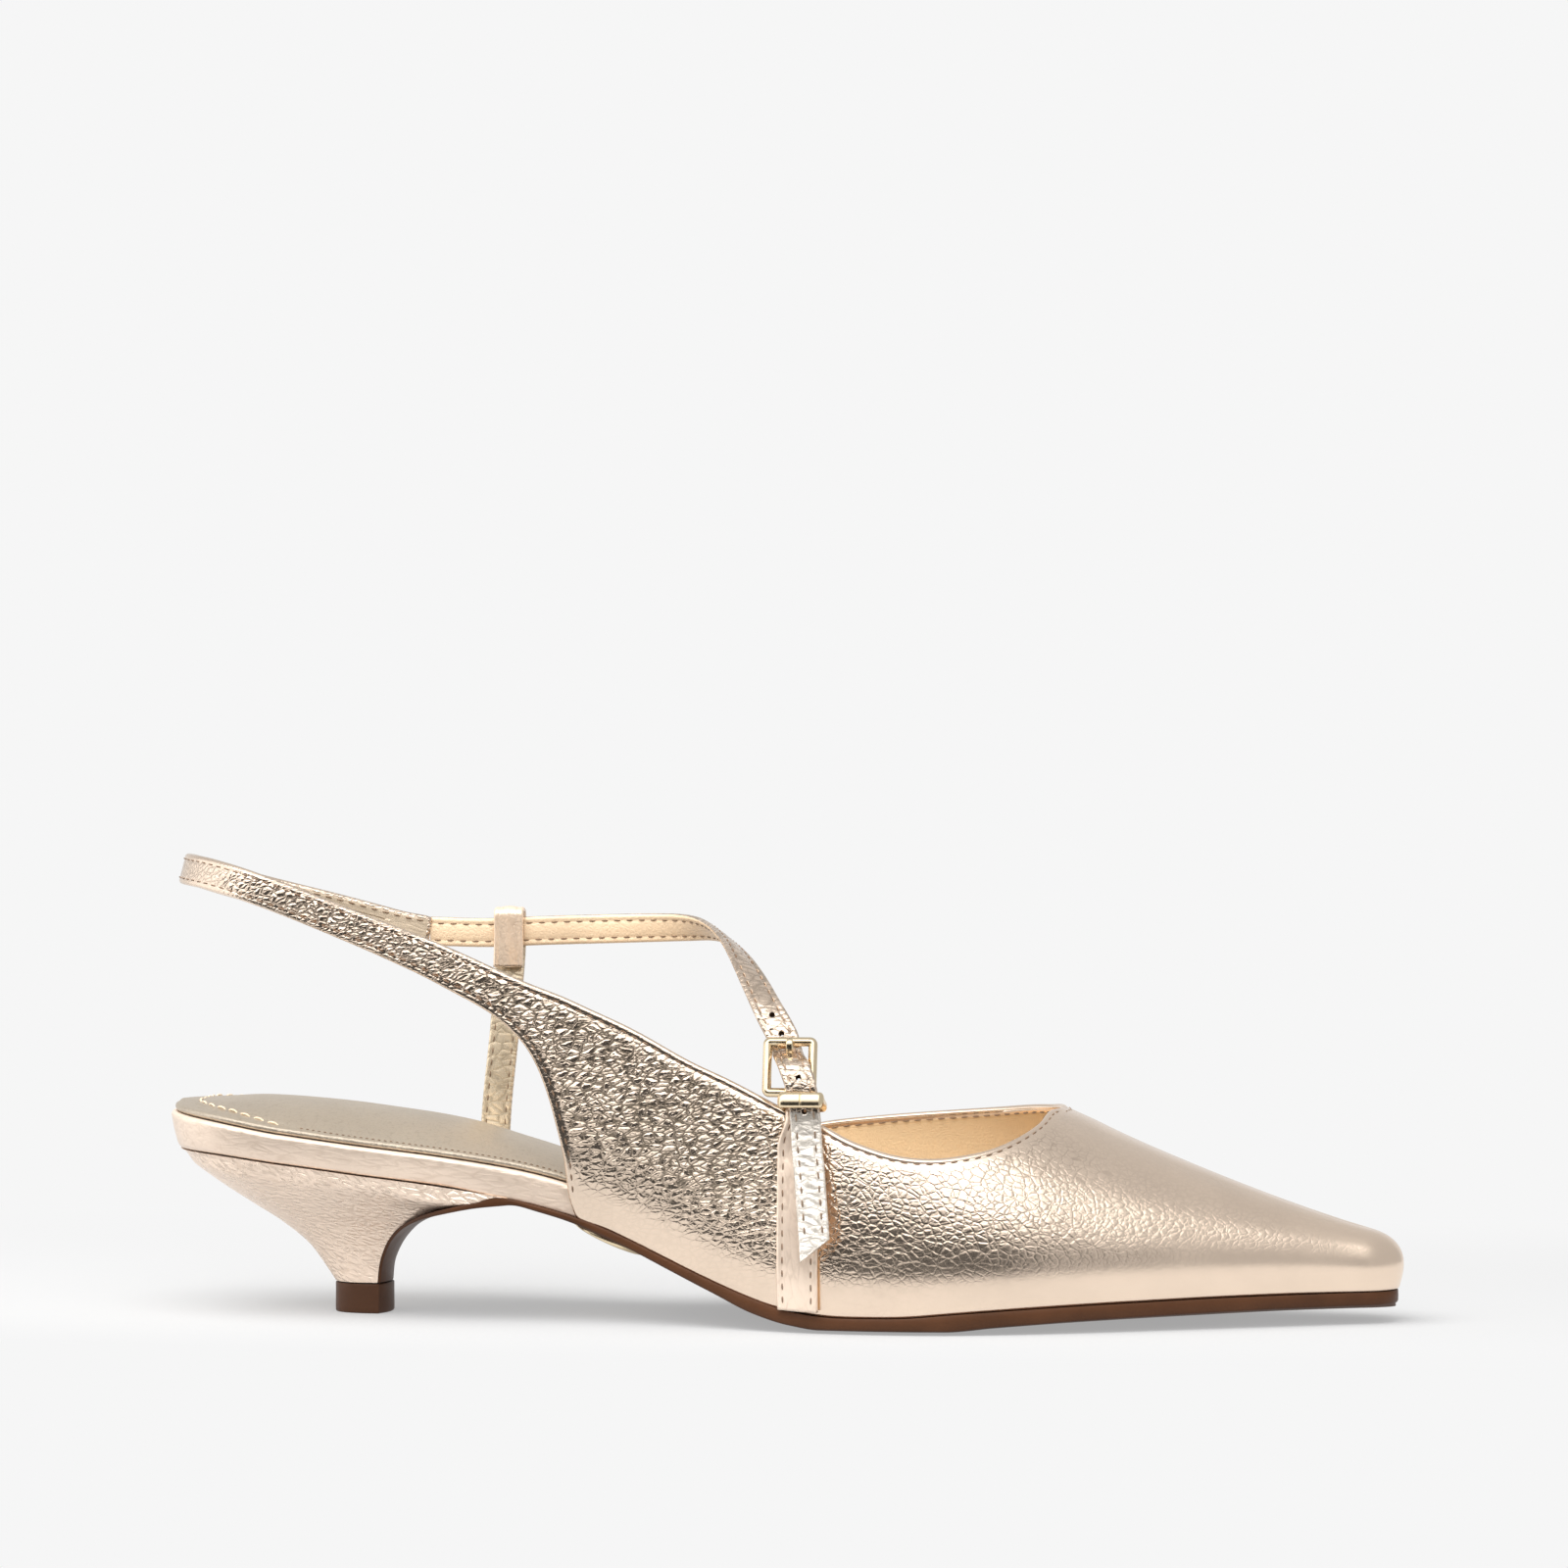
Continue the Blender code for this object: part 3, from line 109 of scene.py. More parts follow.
SOLE = [(80, 24.6, 1.0, 0.0), (88, 22.2, 1.6, 0.0), (98, 18.1, 1.9, 0.0), (109, 12.9, 1.9, 0.0),
        (119, 7.9, 1.6, 0.1), (128, 3.7, 1.1, 0.35), (136, 1.5, 0.8, 0.6), (142, 0.8, 0.8, 0.72),
        (168, 0.8, 0.8, 0.72), (178, 1.6, 0.8, 0.72), (195, 2.6, 0.8, 0.72), (215, 3.3, 0.8, 0.7),
        (240, 3.9, 0.8, 0.6), (262, 4.1, 0.8, 0.5)]
BREAST = [(0.0, 0.9, 0.5), (0.5, 0.6, 0.5), (0.8, 0.5, 0.9), (1.0, 0.5, 1.3)]


# ------------------------------------------------------------------ curves through tables
def smooth(rows):
    """Monotone cubic through a table; takes numbers or arrays."""
    data = np.array(rows, float)
    x, y = data[:, 0], data[:, 1:]
    h = np.diff(x)
    d = np.diff(y, axis=0) / h[:, None]
    m = np.zeros_like(y)
    m[0], m[-1] = d[0], d[-1]
    for i in range(1, len(x) - 1):
        w1, w2 = 2 * h[i] + h[i - 1], h[i] + 2 * h[i - 1]
        ok = d[i - 1] * d[i] > 0
        a, b = np.where(ok, d[i - 1], 1.0), np.where(ok, d[i], 1.0)
        m[i] = np.where(ok, (w1 + w2) / (w1 / a + w2 / b), 0.0)

    def value(t):
        t = np.clip(np.asarray(t, float), x[0], x[-1])
        i = np.clip(np.searchsorted(x, t, side="right") - 1, 0, len(x) - 2)
        s = ((t - x[i]) / h[i])[..., None]
        hh = h[i][..., None]
        out = ((2 * s ** 3 - 3 * s ** 2 + 1) * y[i] + (s ** 3 - 2 * s ** 2 + s) * m[i] * hh
               + (-2 * s ** 3 + 3 * s ** 2) * y[i + 1] + (s ** 3 - s ** 2) * m[i + 1] * hh)
        return out if y.shape[1] > 1 else out[..., 0]
    return value


def cubic(rows):
    """Natural cubic spline through a table; smooth to its second derivative."""
    data = np.array(rows, float)
    x, y = data[:, 0], data[:, 1:]
    n, h = len(x), np.diff(x)
    a, b = np.zeros((n, n)), np.zeros((n, y.shape[1]))
    a[0, 0] = a[-1, -1] = 1
    for i in range(1, n - 1):
        a[i, i - 1], a[i, i], a[i, i + 1] = h[i - 1], 2 * (h[i - 1] + h[i]), h[i]
        b[i] = 6 * ((y[i + 1] - y[i]) / h[i] - (y[i] - y[i - 1]) / h[i - 1])
    m = np.linalg.solve(a, b)

    def value(t):
        t = np.clip(np.asarray(t, float), x[0], x[-1])
        i = np.clip(np.searchsorted(x, t, side="right") - 1, 0, n - 2)
        hh = h[i][..., None]
        p = ((x[i + 1] - t) / h[i])[..., None]
        q = 1 - p
        out = p * y[i] + q * y[i + 1] + ((p ** 3 - p) * m[i] + (q ** 3 - q) * m[i + 1]) * hh ** 2 / 6
        return out if y.shape[1] > 1 else out[..., 0]
    return value


def spline(points, step):
    p = np.array(points, float)
    ext = np.vstack([2 * p[0] - p[1], p, 2 * p[-1] - p[-2]])
    out = []
    for i in range(1, len(ext) - 2):
        a, b, c, d = ext[i - 1:i + 3]
        n = max(1, int(round(np.linalg.norm((c - b)[:3]) / step)))
        for k in range(n):
            s = k / n
            out.append(0.5 * (2 * b + (c - a) * s + (2 * a - 5 * b + 4 * c - d) * s ** 2
                              + (3 * b - a - 3 * c + d) * s ** 3))
    out.append(p[-1])
    return np.array(out)


def unit(v):
    v = np.asarray(v, float)
    return v / np.maximum(np.linalg.norm(v, axis=-1, keepdims=True), 1e-12)


def ease(t):
    t = np.clip(t, 0.0, 1.0)
    return t * t * (3 - 2 * t)


plan, crown_of = cubic(PLAN), cubic(CROWN)
bed_raw = smooth(BED)
quarter, sole_of, seat = smooth(QUARTER), smooth(SOLE), smooth(SEAT)


def bed(x):
    x = np.asarray(x, float)
    return (bed_raw(x - 3) + 2 * bed_raw(x - 1.2) + 2 * bed_raw(x) + 2 * bed_raw(x + 1.2) + bed_raw(x + 3)) / 8


def round_end(distance, length, power):
    s = np.clip(np.asarray(distance, float) / length, 0.0, 1.0)
    return (1 - (1 - s) ** power) ** (1 / power)


def half_width(x):
    return plan(x)[..., 1] * round_end(x - HEEL_X, *HEEL_ROUND) * round_end(TOE_X - x, *TOE_ROUND)


def outline(x, side, grow=0.0):
    """Points of the board outline at x, pushed out along the plan normal."""
    x = np.clip(np.asarray(x, float), HEEL_X, TOE_X)
    side = np.broadcast_to(np.asarray(side, float), x.shape)
    e = 0.02
    lo, hi = np.maximum(x - e, HEEL_X), np.minimum(x + e, TOE_X)
    y = plan(x)[..., 0] + side * half_width(x)
    dy = plan(hi)[..., 0] - plan(lo)[..., 0] + side * (half_width(hi) - half_width(lo))
    n = unit(np.stack([-dy * side, (hi - lo) * side], -1))
    n = np.where((x <= HEEL_X)[..., None], [-1.0, 0.0], n)
    n = np.where((x >= TOE_X)[..., None], [1.0, 0.0], n)
    return np.stack([x, y], -1) + np.asarray(grow, float)[..., None] * n


def wall_param(x, z):
    zf, c = bed(x), crown_of(x)
    b = np.clip((z - zf) / (c[..., 0] - zf), 0.0, 1.0)
    return np.arcsin(b ** (c[..., 1] / 2)) / (math.pi / 2)


def wall_height(x, v):
    zf, c = bed(x), crown_of(x)
    return zf + (c[..., 0] - zf) * np.sin(math.pi / 2 * v) ** (2 / c[..., 1])


TUCK, TUCK_H = 1.25, 12.0


def tuck_in(x, z):
    """How far the wall draws in over its lowest stretch."""
    return TUCK * np.clip(1 - (z - bed(x)) / TUCK_H, 0, 1) ** 2


def last_y(x, z, side):
    n = crown_of(x)[..., 1]
    v = wall_param(x, z)
    foot = outline(x, side, UPPER_OUT)[..., 1]
    mid = plan(x)[..., 0]
    full = 1.2 * np.sin(math.pi * np.minimum(v / 0.8, 1.0)) * side
    return mid + (foot - mid) * np.maximum(np.cos(math.pi / 2 * v), 0) ** (2 / n) + full - tuck_in(x, z) * side


def quarter_y(x, z):
    q = quarter(x)
    zf = bed(x)
    s = (z - zf) / (q[..., 0] - zf)
    y_low = outline(x, -1, UPPER_OUT)[..., 1]
    return y_low + (q[..., 1] - y_low) * np.maximum(s, 0.0) ** 0.8 - 1.6 * np.sin(math.pi * np.clip(s, 0, 1)) + tuck_in(x, z)


def outer_y(x, z):
    w = ease((np.asarray(x, float) - 100) / 50)
    return (1 - w) * quarter_y(x, z) + w * last_y(x, z, -1)


def outer_point(x, z, out=0.0):
    e = 0.05
    x, z = np.asarray(x, float), np.asarray(z, float)
    p = np.stack([x, outer_y(x, z), z], -1)
    zero = np.zeros_like(x)
    dx = np.stack([zero + 2 * e, outer_y(x + e, z) - outer_y(x - e, z), zero], -1)
    dz = np.stack([zero, outer_y(x, z + e) - outer_y(x, z - e), zero + 2 * e], -1)
    n = unit(np.cross(dx, dz))
    return p + np.asarray(out, float)[..., None] * n, n


# ------------------------------------------------------------------ mesh helpers
ROOT = "root"


def to_row(v):
    return (np.asarray(v, float) + SHIFT) * MM


def make(name, verts, faces, mats, index=None, attrs=None, weld=0.0015, slot=None, stands_for=(), flat=False, angle=None):
    """Object from millimetre vertices; welds close vertices, points the faces out."""
    me = bpy.data.meshes.new(name)
    me.from_pydata(to_row(verts).tolist(), [], [list(map(int, f)) for f in faces])
    if index is not None:
        me.polygons.foreach_set("material_index", np.asarray(index, np.int32))
    for key, values in (attrs or {}).items():
        a = me.attributes.new(key, "FLOAT", "POINT")
        a.data.foreach_set("value", np.asarray(values, np.float32))
    bm = bmesh.new()
    bm.from_mesh(me)
    if weld:
        bmesh.ops.remove_doubles(bm, verts=bm.verts, dist=weld * MM)
        bmesh.ops.dissolve_degenerate(bm, edges=bm.edges, dist=1e-8)
    bmesh.ops.recalc_face_normals(bm, faces=bm.faces)
    if bm.calc_volume(signed=True) < 0:
        bmesh.ops.reverse_faces(bm, faces=bm.faces)
    bm.to_mesh(me)
    bm.free()
    me.polygons.foreach_set("use_smooth", [not flat] * len(me.polygons))
    if angle:
        me.set_sharp_from_angle(angle=math.radians(angle))
    ob = bpy.data.objects.new(name, me)
    bpy.context.scene.collection.objects.link(ob)
    for m in mats if isinstance(mats, (list, tuple)) else [mats]:
        me.materials.append(m)
    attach(ob, ROOT)
    if stands_for:
        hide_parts(*([stands_for] if isinstance(stands_for, str) else stands_for))
    return ob


def grid(sections, closed=True, caps=True):
    """Vertices and faces of a skin through sections with equal numbers of points."""
    s = np.array(sections, float)
    n, m = s.shape[:2]
    faces = []
    for i in range(n - 1):
        for k in range(m if closed else m - 1):
            k2 = (k + 1) % m
            faces.append((i * m + k, i * m + k2, (i + 1) * m + k2, (i + 1) * m + k))
    if caps and closed:
        faces.append(tuple(range(m)))
        faces.append(tuple(range((n - 1) * m, n * m)))
    return s.reshape(-1, 3), faces


def resample(points, targets):
    """Points of a polyline at given arc lengths."""
    p = np.asarray(points, float)
    seg = np.linalg.norm(np.diff(p, axis=0), axis=1)
    s = np.concatenate([[0], np.cumsum(seg)])
    return np.stack([np.interp(targets, s, p[:, k]) for k in range(p.shape[1])], -1)


def length_of(points):
    return float(np.linalg.norm(np.diff(np.asarray(points)[:, :3], axis=0), axis=1).sum())


def shell(verts, faces, thick, roll=6):
    """Closes an open surface into a wall of that thickness with rounded edges.

    Returns vertices, faces, a material index (0 outside, 1 inside) and the source vertex of each vertex.
    """
    v = np.asarray(verts, float)
    f = np.asarray(faces, int)
    fn = np.cross(v[f[:, 2]] - v[f[:, 0]], v[f[:, 3]] - v[f[:, 1]])
    vn = np.zeros_like(v)
    for k in range(4):
        np.add.at(vn, f[:, k], fn)
    vn = unit(vn)
    count = {}
    for i, q in enumerate(f):
        for k in range(4):
            a, b = q[k], q[(k + 1) % 4]
            if a != b:
                count.setdefault((min(a, b), max(a, b)), []).append((a, b, i))
    rim = [c[0] for c in count.values() if len(c) == 1]
    out = np.zeros_like(v)
    for a, b, i in rim:
        e = unit(np.cross(v[b] - v[a], fn[i]))
        out[a] += e
        out[b] += e
    ids = sorted({a for a, b, i in rim} | {b for a, b, i in rim})
    out[ids] = unit(out[ids] - (out[ids] * vn[ids]).sum(1, keepdims=True) * vn[ids])
    n = len(v)
    inner = v - thick * vn
    r = thick / 2
    extra, where = [], {}
    for i in ids:
        c = v[i] - r * vn[i]
        for k in range(1, roll):
            t = math.pi * k / roll
            where[i, k] = 2 * n + len(extra)
            extra.append(c + r * (math.cos(t) * vn[i] + math.sin(t) * out[i]))
        where[i, 0], where[i, roll] = i, n + i
    all_faces = [tuple(q) for q in f] + [tuple(q[::-1] + n) for q in f]
    index = [0] * len(f) + [1] * len(f)
    for a, b, i in rim:
        for k in range(roll):
            all_faces.append((where[b, k], where[a, k], where[a, k + 1], where[b, k + 1]))
            index.append(0 if k < roll * 0.7 else 1)
    src = np.concatenate([np.arange(n), np.arange(n), np.repeat(ids, roll - 1)])
    return np.vstack([v, inner, np.array(extra)]), all_faces, index, src, vn


def normals_of_grid(g):
    """Normals of an array of points [columns, rows, 3]."""
    du = np.gradient(g, axis=0)
    dv = np.gradient(g, axis=1)
    return unit(np.cross(du, dv))


def stitch_geometry(runs, length, gap, radius):
    """Thread stitches along runs of (points, normals): each dips into the leather at both ends."""
    verts, faces = [], []
    ring, sides = np.array([-1.0, -0.8, -0.45, 0.0, 0.45, 0.8, 1.0]), 6
    for pts, nrm in runs:
        pts, nrm = np.asarray(pts, float), np.asarray(nrm, float)
        total = length_of(pts)
        pitch = length + gap
        count = int(total // pitch)
        if count < 1:
            continue
        first = (total - count * pitch + gap) / 2
        for j in range(count):
            mid = first + j * pitch + length / 2
            at = mid + ring * length / 2
            p = resample(pts, at)
            n = unit(resample(np.hstack([pts, nrm]), at)[:, 3:])
            t = unit(np.gradient(p, axis=0))
            w = unit(np.cross(t, n))
            turn = rng.uniform(-0.05, 0.05)
            p = p + w * (turn * ring * length / 2)[:, None]
            lift = radius * (0.75 - 1.5 * np.abs(ring) ** 3)
            rad = radius * (1 - 0.35 * ring ** 2)
            base = len(verts)
            for i in range(len(ring)):
                for s in range(sides):
                    a = 2 * math.pi * s / sides
                    verts.append(p[i] + n[i] * (lift[i] + rad[i] * math.sin(a)) + w[i] * rad[i] * math.cos(a))
            for i in range(len(ring) - 1):
                for s in range(sides):
                    s2 = (s + 1) % sides
                    faces.append((base + i * sides + s, base + i * sides + s2,
                                  base + (i + 1) * sides + s2, base + (i + 1) * sides + s))
            faces.append(tuple(base + s for s in range(sides))[::-1])
            faces.append(tuple(base + (len(ring) - 1) * sides + s for s in range(sides)))
    return np.array(verts), faces


def stitches(name, runs, mat, length=2.0, gap=0.9, radius=0.2):
    v, f = stitch_geometry(runs, length, gap, radius)
    return make(name, v, f, mat, weld=0)


# ------------------------------------------------------------------ materials
class Look:
    """Small helper around one material's nodes."""

    def __init__(self, name, colour, rough, metal=0.0):
        self.m = bpy.data.materials.new(name)
        self.m.use_nodes = True
        self.t = self.m.node_tree
        self.b = self.t.nodes["Principled BSDF"]
        self.b.inputs["Base Color"].default_value = (*colour, 1)
        self.b.inputs["Roughness"].default_value = rough
        self.b.inputs["Metallic"].default_value = metal
        self.coord = self.t.nodes.new("ShaderNodeTexCoord").outputs["Object"]

    def put(self, socket, value):
        if hasattr(value, "is_linked") or hasattr(value, "links"):
            self.t.links.new(value, socket)
        else:
            socket.default_value = value

    def math(self, op, a, b=0.0, clamp=False):
        n = self.t.nodes.new("ShaderNodeMath")
        n.operation = op
        n.use_clamp = clamp
        self.put(n.inputs[0], a)
        self.put(n.inputs[1], b)
        return n.outputs[0]

    def scaled(self, factors, turn=(0, 0, 0)):
        n = self.t.nodes.new("ShaderNodeMapping")
        n.inputs["Scale"].default_value = factors
        n.inputs["Rotation"].default_value = turn
        self.t.links.new(self.coord, n.inputs["Vector"])
        return n.outputs[0]

    def turned(self, stretch, turn):
        """Coordinates stretched along an axis turned in the upright plane."""
        n = self.t.nodes.new("ShaderNodeMapping")
        n.vector_type = "TEXTURE"
        n.inputs["Scale"].default_value = stretch
        n.inputs["Rotation"].default_value = (0, turn, 0)
        self.t.links.new(self.coord, n.inputs["Vector"])
        return n.outputs[0]

    def noise(self, scale, detail=3.0, rough=0.5, at=None, colour=False):
        n = self.t.nodes.new("ShaderNodeTexNoise")
        n.inputs["Scale"].default_value = scale
        n.inputs["Detail"].default_value = detail
        n.inputs["Roughness"].default_value = rough
        self.t.links.new(at or self.coord, n.inputs["Vector"])
        return n.outputs["Color" if colour else "Fac"]

    def warped(self, scale, amount, at=None):
        """Coordinates bent by a noise of the given scale, by about `amount` metres."""
        c = self.noise(scale, 2.0, colour=True, at=at)
        sub = self.t.nodes.new("ShaderNodeVectorMath")
        sub.operation = "SUBTRACT"
        self.t.links.new(c, sub.inputs[0])
        sub.inputs[1].default_value = (0.5, 0.5, 0.5)
        mul = self.t.nodes.new("ShaderNodeVectorMath")
        mul.operation = "SCALE"
        self.t.links.new(sub.outputs[0], mul.inputs[0])
        mul.inputs["Scale"].default_value = amount
        add = self.t.nodes.new("ShaderNodeVectorMath")
        add.operation = "ADD"
        self.t.links.new(at or self.coord, add.inputs[0])
        self.t.links.new(mul.outputs[0], add.inputs[1])
        return add.outputs[0]

    def cells(self, scale, at, feature="DISTANCE_TO_EDGE", random=1.0):
        n = self.t.nodes.new("ShaderNodeTexVoronoi")
        n.feature = feature
        n.inputs["Scale"].default_value = scale
        n.inputs["Randomness"].default_value = random
        self.t.links.new(at, n.inputs["Vector"])
        return n.outputs["Distance"]

    def attr(self, name):
        n = self.t.nodes.new("ShaderNodeAttribute")
        n.attribute_type = "GEOMETRY"
        n.attribute_name = name
        return n.outputs["Fac"]

    def span(self, value, a, b, c=0.0, d=1.0, shape="SMOOTHSTEP"):
        n = self.t.nodes.new("ShaderNodeMapRange")
        n.interpolation_type = shape
        self.put(n.inputs["Value"], value)
        for key, v in (("From Min", a), ("From Max", b), ("To Min", c), ("To Max", d)):
            n.inputs[key].default_value = v
        return n.outputs["Result"]

    def mix(self, fac, a, b):
        n = self.t.nodes.new("ShaderNodeMix")
        n.data_type = "RGBA"
        self.put(n.inputs[0], fac)
        for socket, value in ((n.inputs[6], a), (n.inputs[7], b)):
            self.put(socket, (*value, 1) if isinstance(value, tuple) else value)
        return n.outputs[2]

    def bump(self, height, metres, strength=1.0, below=None):
        n = self.t.nodes.new("ShaderNodeBump")
        n.inputs["Strength"].default_value = strength
        n.inputs["Distance"].default_value = metres
        self.t.links.new(height, n.inputs["Height"])
        if below:
            self.t.links.new(below, n.inputs["Normal"])
        return n.outputs[0]

    def done(self, colour=None, rough=None, normal=None):
        if colour is not None:
            self.put(self.b.inputs["Base Color"], colour)
        if rough is not None:
            self.put(self.b.inputs["Roughness"], rough)
        if normal is not None:
            self.t.links.new(normal, self.b.inputs["Normal"])
        return self.m


CHAMPAGNE = (0.93, 0.755, 0.605)


def foil_leather(name, colour=CHAMPAGNE, rough=0.12, metal=0.95, pebble=(1.32, 1.8, -0.22), pebble_depth=0.00039,
                 crease=(1.5, 1.35, 0.5), crease_depth=0.00009, fine=0.000006):
    """Metallic foil on grained leather.

    Puffy pebbles where the `grain` attribute is high, thin creases between flat cells where `crease` is. The troughs
    between pebbles and the crease lines are painted darker: painted shade, partly the creases' own darker colour.
    Where `tight` is high the pebbles are smaller, and where the quarter's painted-shade attribute is high the foil
    colour is darkened as painted shade. Each grain is (cell in mm, stretch, turn).
    """
    k = Look(name, colour, rough, metal)
    g, c, tight = k.attr("grain"), k.attr("crease"), k.attr("tight")
    at = k.warped(800, 0.0007, at=k.warped(170, 0.0019, at=k.turned((pebble[1], 1.0, 0.95), pebble[2])))
    wide, close = k.cells(1000 / pebble[0], at), k.cells(1250 / pebble[0], at)
    d1 = k.math("ADD", wide, k.math("MULTIPLY", k.math("SUBTRACT", close, wide), tight))
    dome = k.math("POWER", k.math("MULTIPLY", d1, 2.3, clamp=True), 0.5)
    swell = k.noise(560, 3.0, 0.55, at=k.turned((1.8, 1.0, 1.0), pebble[2]))
    fold = k.noise(1250, 3.0, 0.6, at=k.turned((2.0, 1.0, 1.0), pebble[2] - 0.15))
    h1 = k.math("ADD", dome, k.math("ADD", k.math("MULTIPLY", swell, 0.40), k.math("MULTIPLY", fold, 0.10)))
    n = k.bump(k.math("MULTIPLY", h1, g), pebble_depth)
    d2 = k.cells(1000 / crease[0], k.warped(300, 0.0013, at=k.turned((crease[1], 1.0, 0.95), crease[2])))
    plate = k.math("POWER", k.math("MULTIPLY", d2, 5.0, clamp=True), 0.65)
    n = k.bump(k.math("MULTIPLY", plate, c), crease_depth, below=n)
    n = k.bump(k.noise(1900, 4.0, 0.6), fine, below=n)
    # painted shade, partly the creases' own darker colour: the troughs between pebbles and the crease lines are
    # darkened
    pebble_trough_shade = k.math("MULTIPLY", k.span(d1, 0.0, 0.19, 1.0, 0.0), k.math("MULTIPLY", g, 1.0), clamp=True)
    crease_line_shade = k.math("MULTIPLY", k.span(d2, 0.0, 0.08, 1.0, 0.0), c, clamp=True)
    trough_shade_mask = k.math("MAXIMUM", pebble_trough_shade, crease_line_shade)
    patch = k.span(k.noise(70, 3.0), 0.3, 0.7)
    light = k.mix(patch, tuple(v * 0.96 for v in colour), tuple(min(1.0, v * 1.02) for v in colour))
    trough_shade_colour = tuple(v * d for v, d in zip(colour, (0.20, 0.195, 0.175)))
    # painted shade: the foil colour is darkened over the middle of the outer quarter
    light = k.mix(k.attr("quarter_shade"), light, tuple(v * d for v, d in zip(colour, (0.56, 0.59, 0.60))))
    col = k.mix(k.math("MULTIPLY", trough_shade_mask, 0.88), light, trough_shade_colour)
    r = k.math("ADD", rough - 0.05, k.math("MULTIPLY", k.noise(260, 4.0), 0.1))
    r = k.math("ADD", r, k.span(g, 0.0, 0.12, 0.11, 0.0))
    r = k.math("ADD", r, k.math("MULTIPLY", trough_shade_mask, 0.2), clamp=True)
    return k.done(col, r, n)


def creased_leather(name, colour, rough, metal, stretch, turn, depth, scale=650, fine=0.000025, cell=0.35):
    """Smooth wrapped leather with fine wrinkles that run one way."""
    k = Look(name, colour, rough, metal)
    at = k.warped(140, 0.0016, at=k.turned((stretch, 1.2, 1.0), turn))
    w = k.noise(scale, 4.0, 0.6, at=at)
    w = k.math("ADD", w, k.math("MULTIPLY", k.span(k.cells(scale * 1.3, at), 0.0, 0.3), cell))
    n = k.bump(w, depth)
    n = k.bump(k.noise(2000, 3.0, 0.6), fine, below=n)
    patch = k.span(k.noise(60, 4.0), 0.3, 0.7)
    light = k.mix(patch, tuple(v * 0.95 for v in colour), tuple(min(1.0, v * 1.02) for v in colour))
    # the valleys of the wrinkles are painted darker: painted shade
    col = k.mix(k.span(w, 0.35, 0.62, 0.30, 0.0), light, tuple(v * d for v, d in zip(colour, (0.6, 0.55, 0.5))))
    return k.done(col, k.math("ADD", rough - 0.05, k.math("MULTIPLY", k.noise(300, 4.0), 0.1)), n)


def lining_leather(name, colour=(0.95, 0.70, 0.42), rough=0.42, metal=0.1):
    k = Look(name, colour, rough, metal)
    at = k.warped(300, 0.0008)
    h = k.math("ADD", k.math("MULTIPLY", k.span(k.cells(1150, at), 0, 0.3), 0.5), k.noise(900, 4.0))
    n = k.bump(h, 0.00006)
    col = k.mix(k.span(k.noise(55, 4.0), 0.3, 0.7), tuple(c * 0.92 for c in colour), tuple(min(1, c * 1.06) for c in colour))
    return k.done(col, k.math("ADD", rough - 0.06, k.math("MULTIPLY", k.noise(400, 3.0), 0.12)), n)


def polished_metal(name, colour, rough):
    k = Look(name, colour, rough, 1.0)
    r = k.math("ADD", rough - 0.03, k.math("MULTIPLY", k.noise(500, 4.0), 0.08))
    n = k.bump(k.noise(260, 2.0), 0.00003)
    col = k.mix(k.span(k.noise(120, 3.0), 0.35, 0.65), tuple(c * 0.96 for c in colour), colour)
    return k.done(col, r, n)


def thread(name, colour):
    k = Look(name, colour, 0.55, 0.0)
    n = k.bump(k.noise(2600, 2.0), 0.00008)
    k.b.inputs["Sheen Weight"].default_value = 0.25
    col = k.mix(k.noise(900, 2.0), tuple(c * 0.8 for c in colour), tuple(min(1, c * 1.25) for c in colour))
    return k.done(col, None, n)


def sole_leather(name, colour, rough):
    k = Look(name, colour, rough, 0.0)
    k.b.inputs["Specular IOR Level"].default_value = 0.22
    fibre = k.noise(420, 5.0, 0.6, at=k.scaled((0.35, 1.0, 2.2)))
    n = k.bump(k.math("ADD", fibre, k.math("MULTIPLY", k.noise(1500, 3.0), 0.4)), 0.00006)
    col = k.mix(k.span(k.noise(90, 4.0), 0.3, 0.7), tuple(c * 0.85 for c in colour), tuple(c * 1.15 for c in colour))
    return k.done(col, k.math("ADD", rough - 0.07, k.math("MULTIPLY", k.noise(300, 4.0), 0.16)), n)


BROWN = (0.068, 0.026, 0.010)
GOLD = (0.92, 0.76, 0.52)
PALE_LEATHER = (0.90, 0.735, 0.60)
m_upper = foil_leather("upper_leather")
m_strap = foil_leather("strap_leather", pebble=(1.9, 1.9, 0.0), pebble_depth=0.00022, crease=(1.5, 2.2, 0.0), crease_depth=0.00010)
m_heel = creased_leather("heel_leather", (0.94, 0.765, 0.625), 0.28, 0.5, 2.6, 0.42, 0.00016, scale=720, cell=0.9)
m_rim = creased_leather("rim_leather", PALE_LEATHER, 0.32, 0.5, 4.0, 0.12, 0.00009, scale=700)
m_sock = creased_leather("sock_leather", (0.60, 0.515, 0.41), 0.40, 0.8, 1.3, 0.2, 0.00009, scale=1000, fine=0.00005)
m_lining = lining_leather("lining_leather")
m_under = lining_leather("strap_lining", (0.79, 0.595, 0.40))
m_sling = creased_leather("sling_lining", (0.70, 0.575, 0.43), 0.42, 0.45, 3.0, 0.3, 0.00007)
m_strip = creased_leather("strip_leather", (0.95, 0.775, 0.63), 0.34, 0.6, 3.0, 1.5, 0.00006)
m_post = foil_leather("post_leather", (0.84, 0.70, 0.51), 0.26, 0.6, pebble=(1.9, 1.4, 0.0), pebble_depth=0.00016, crease=(1.6, 2.0, 0.0))
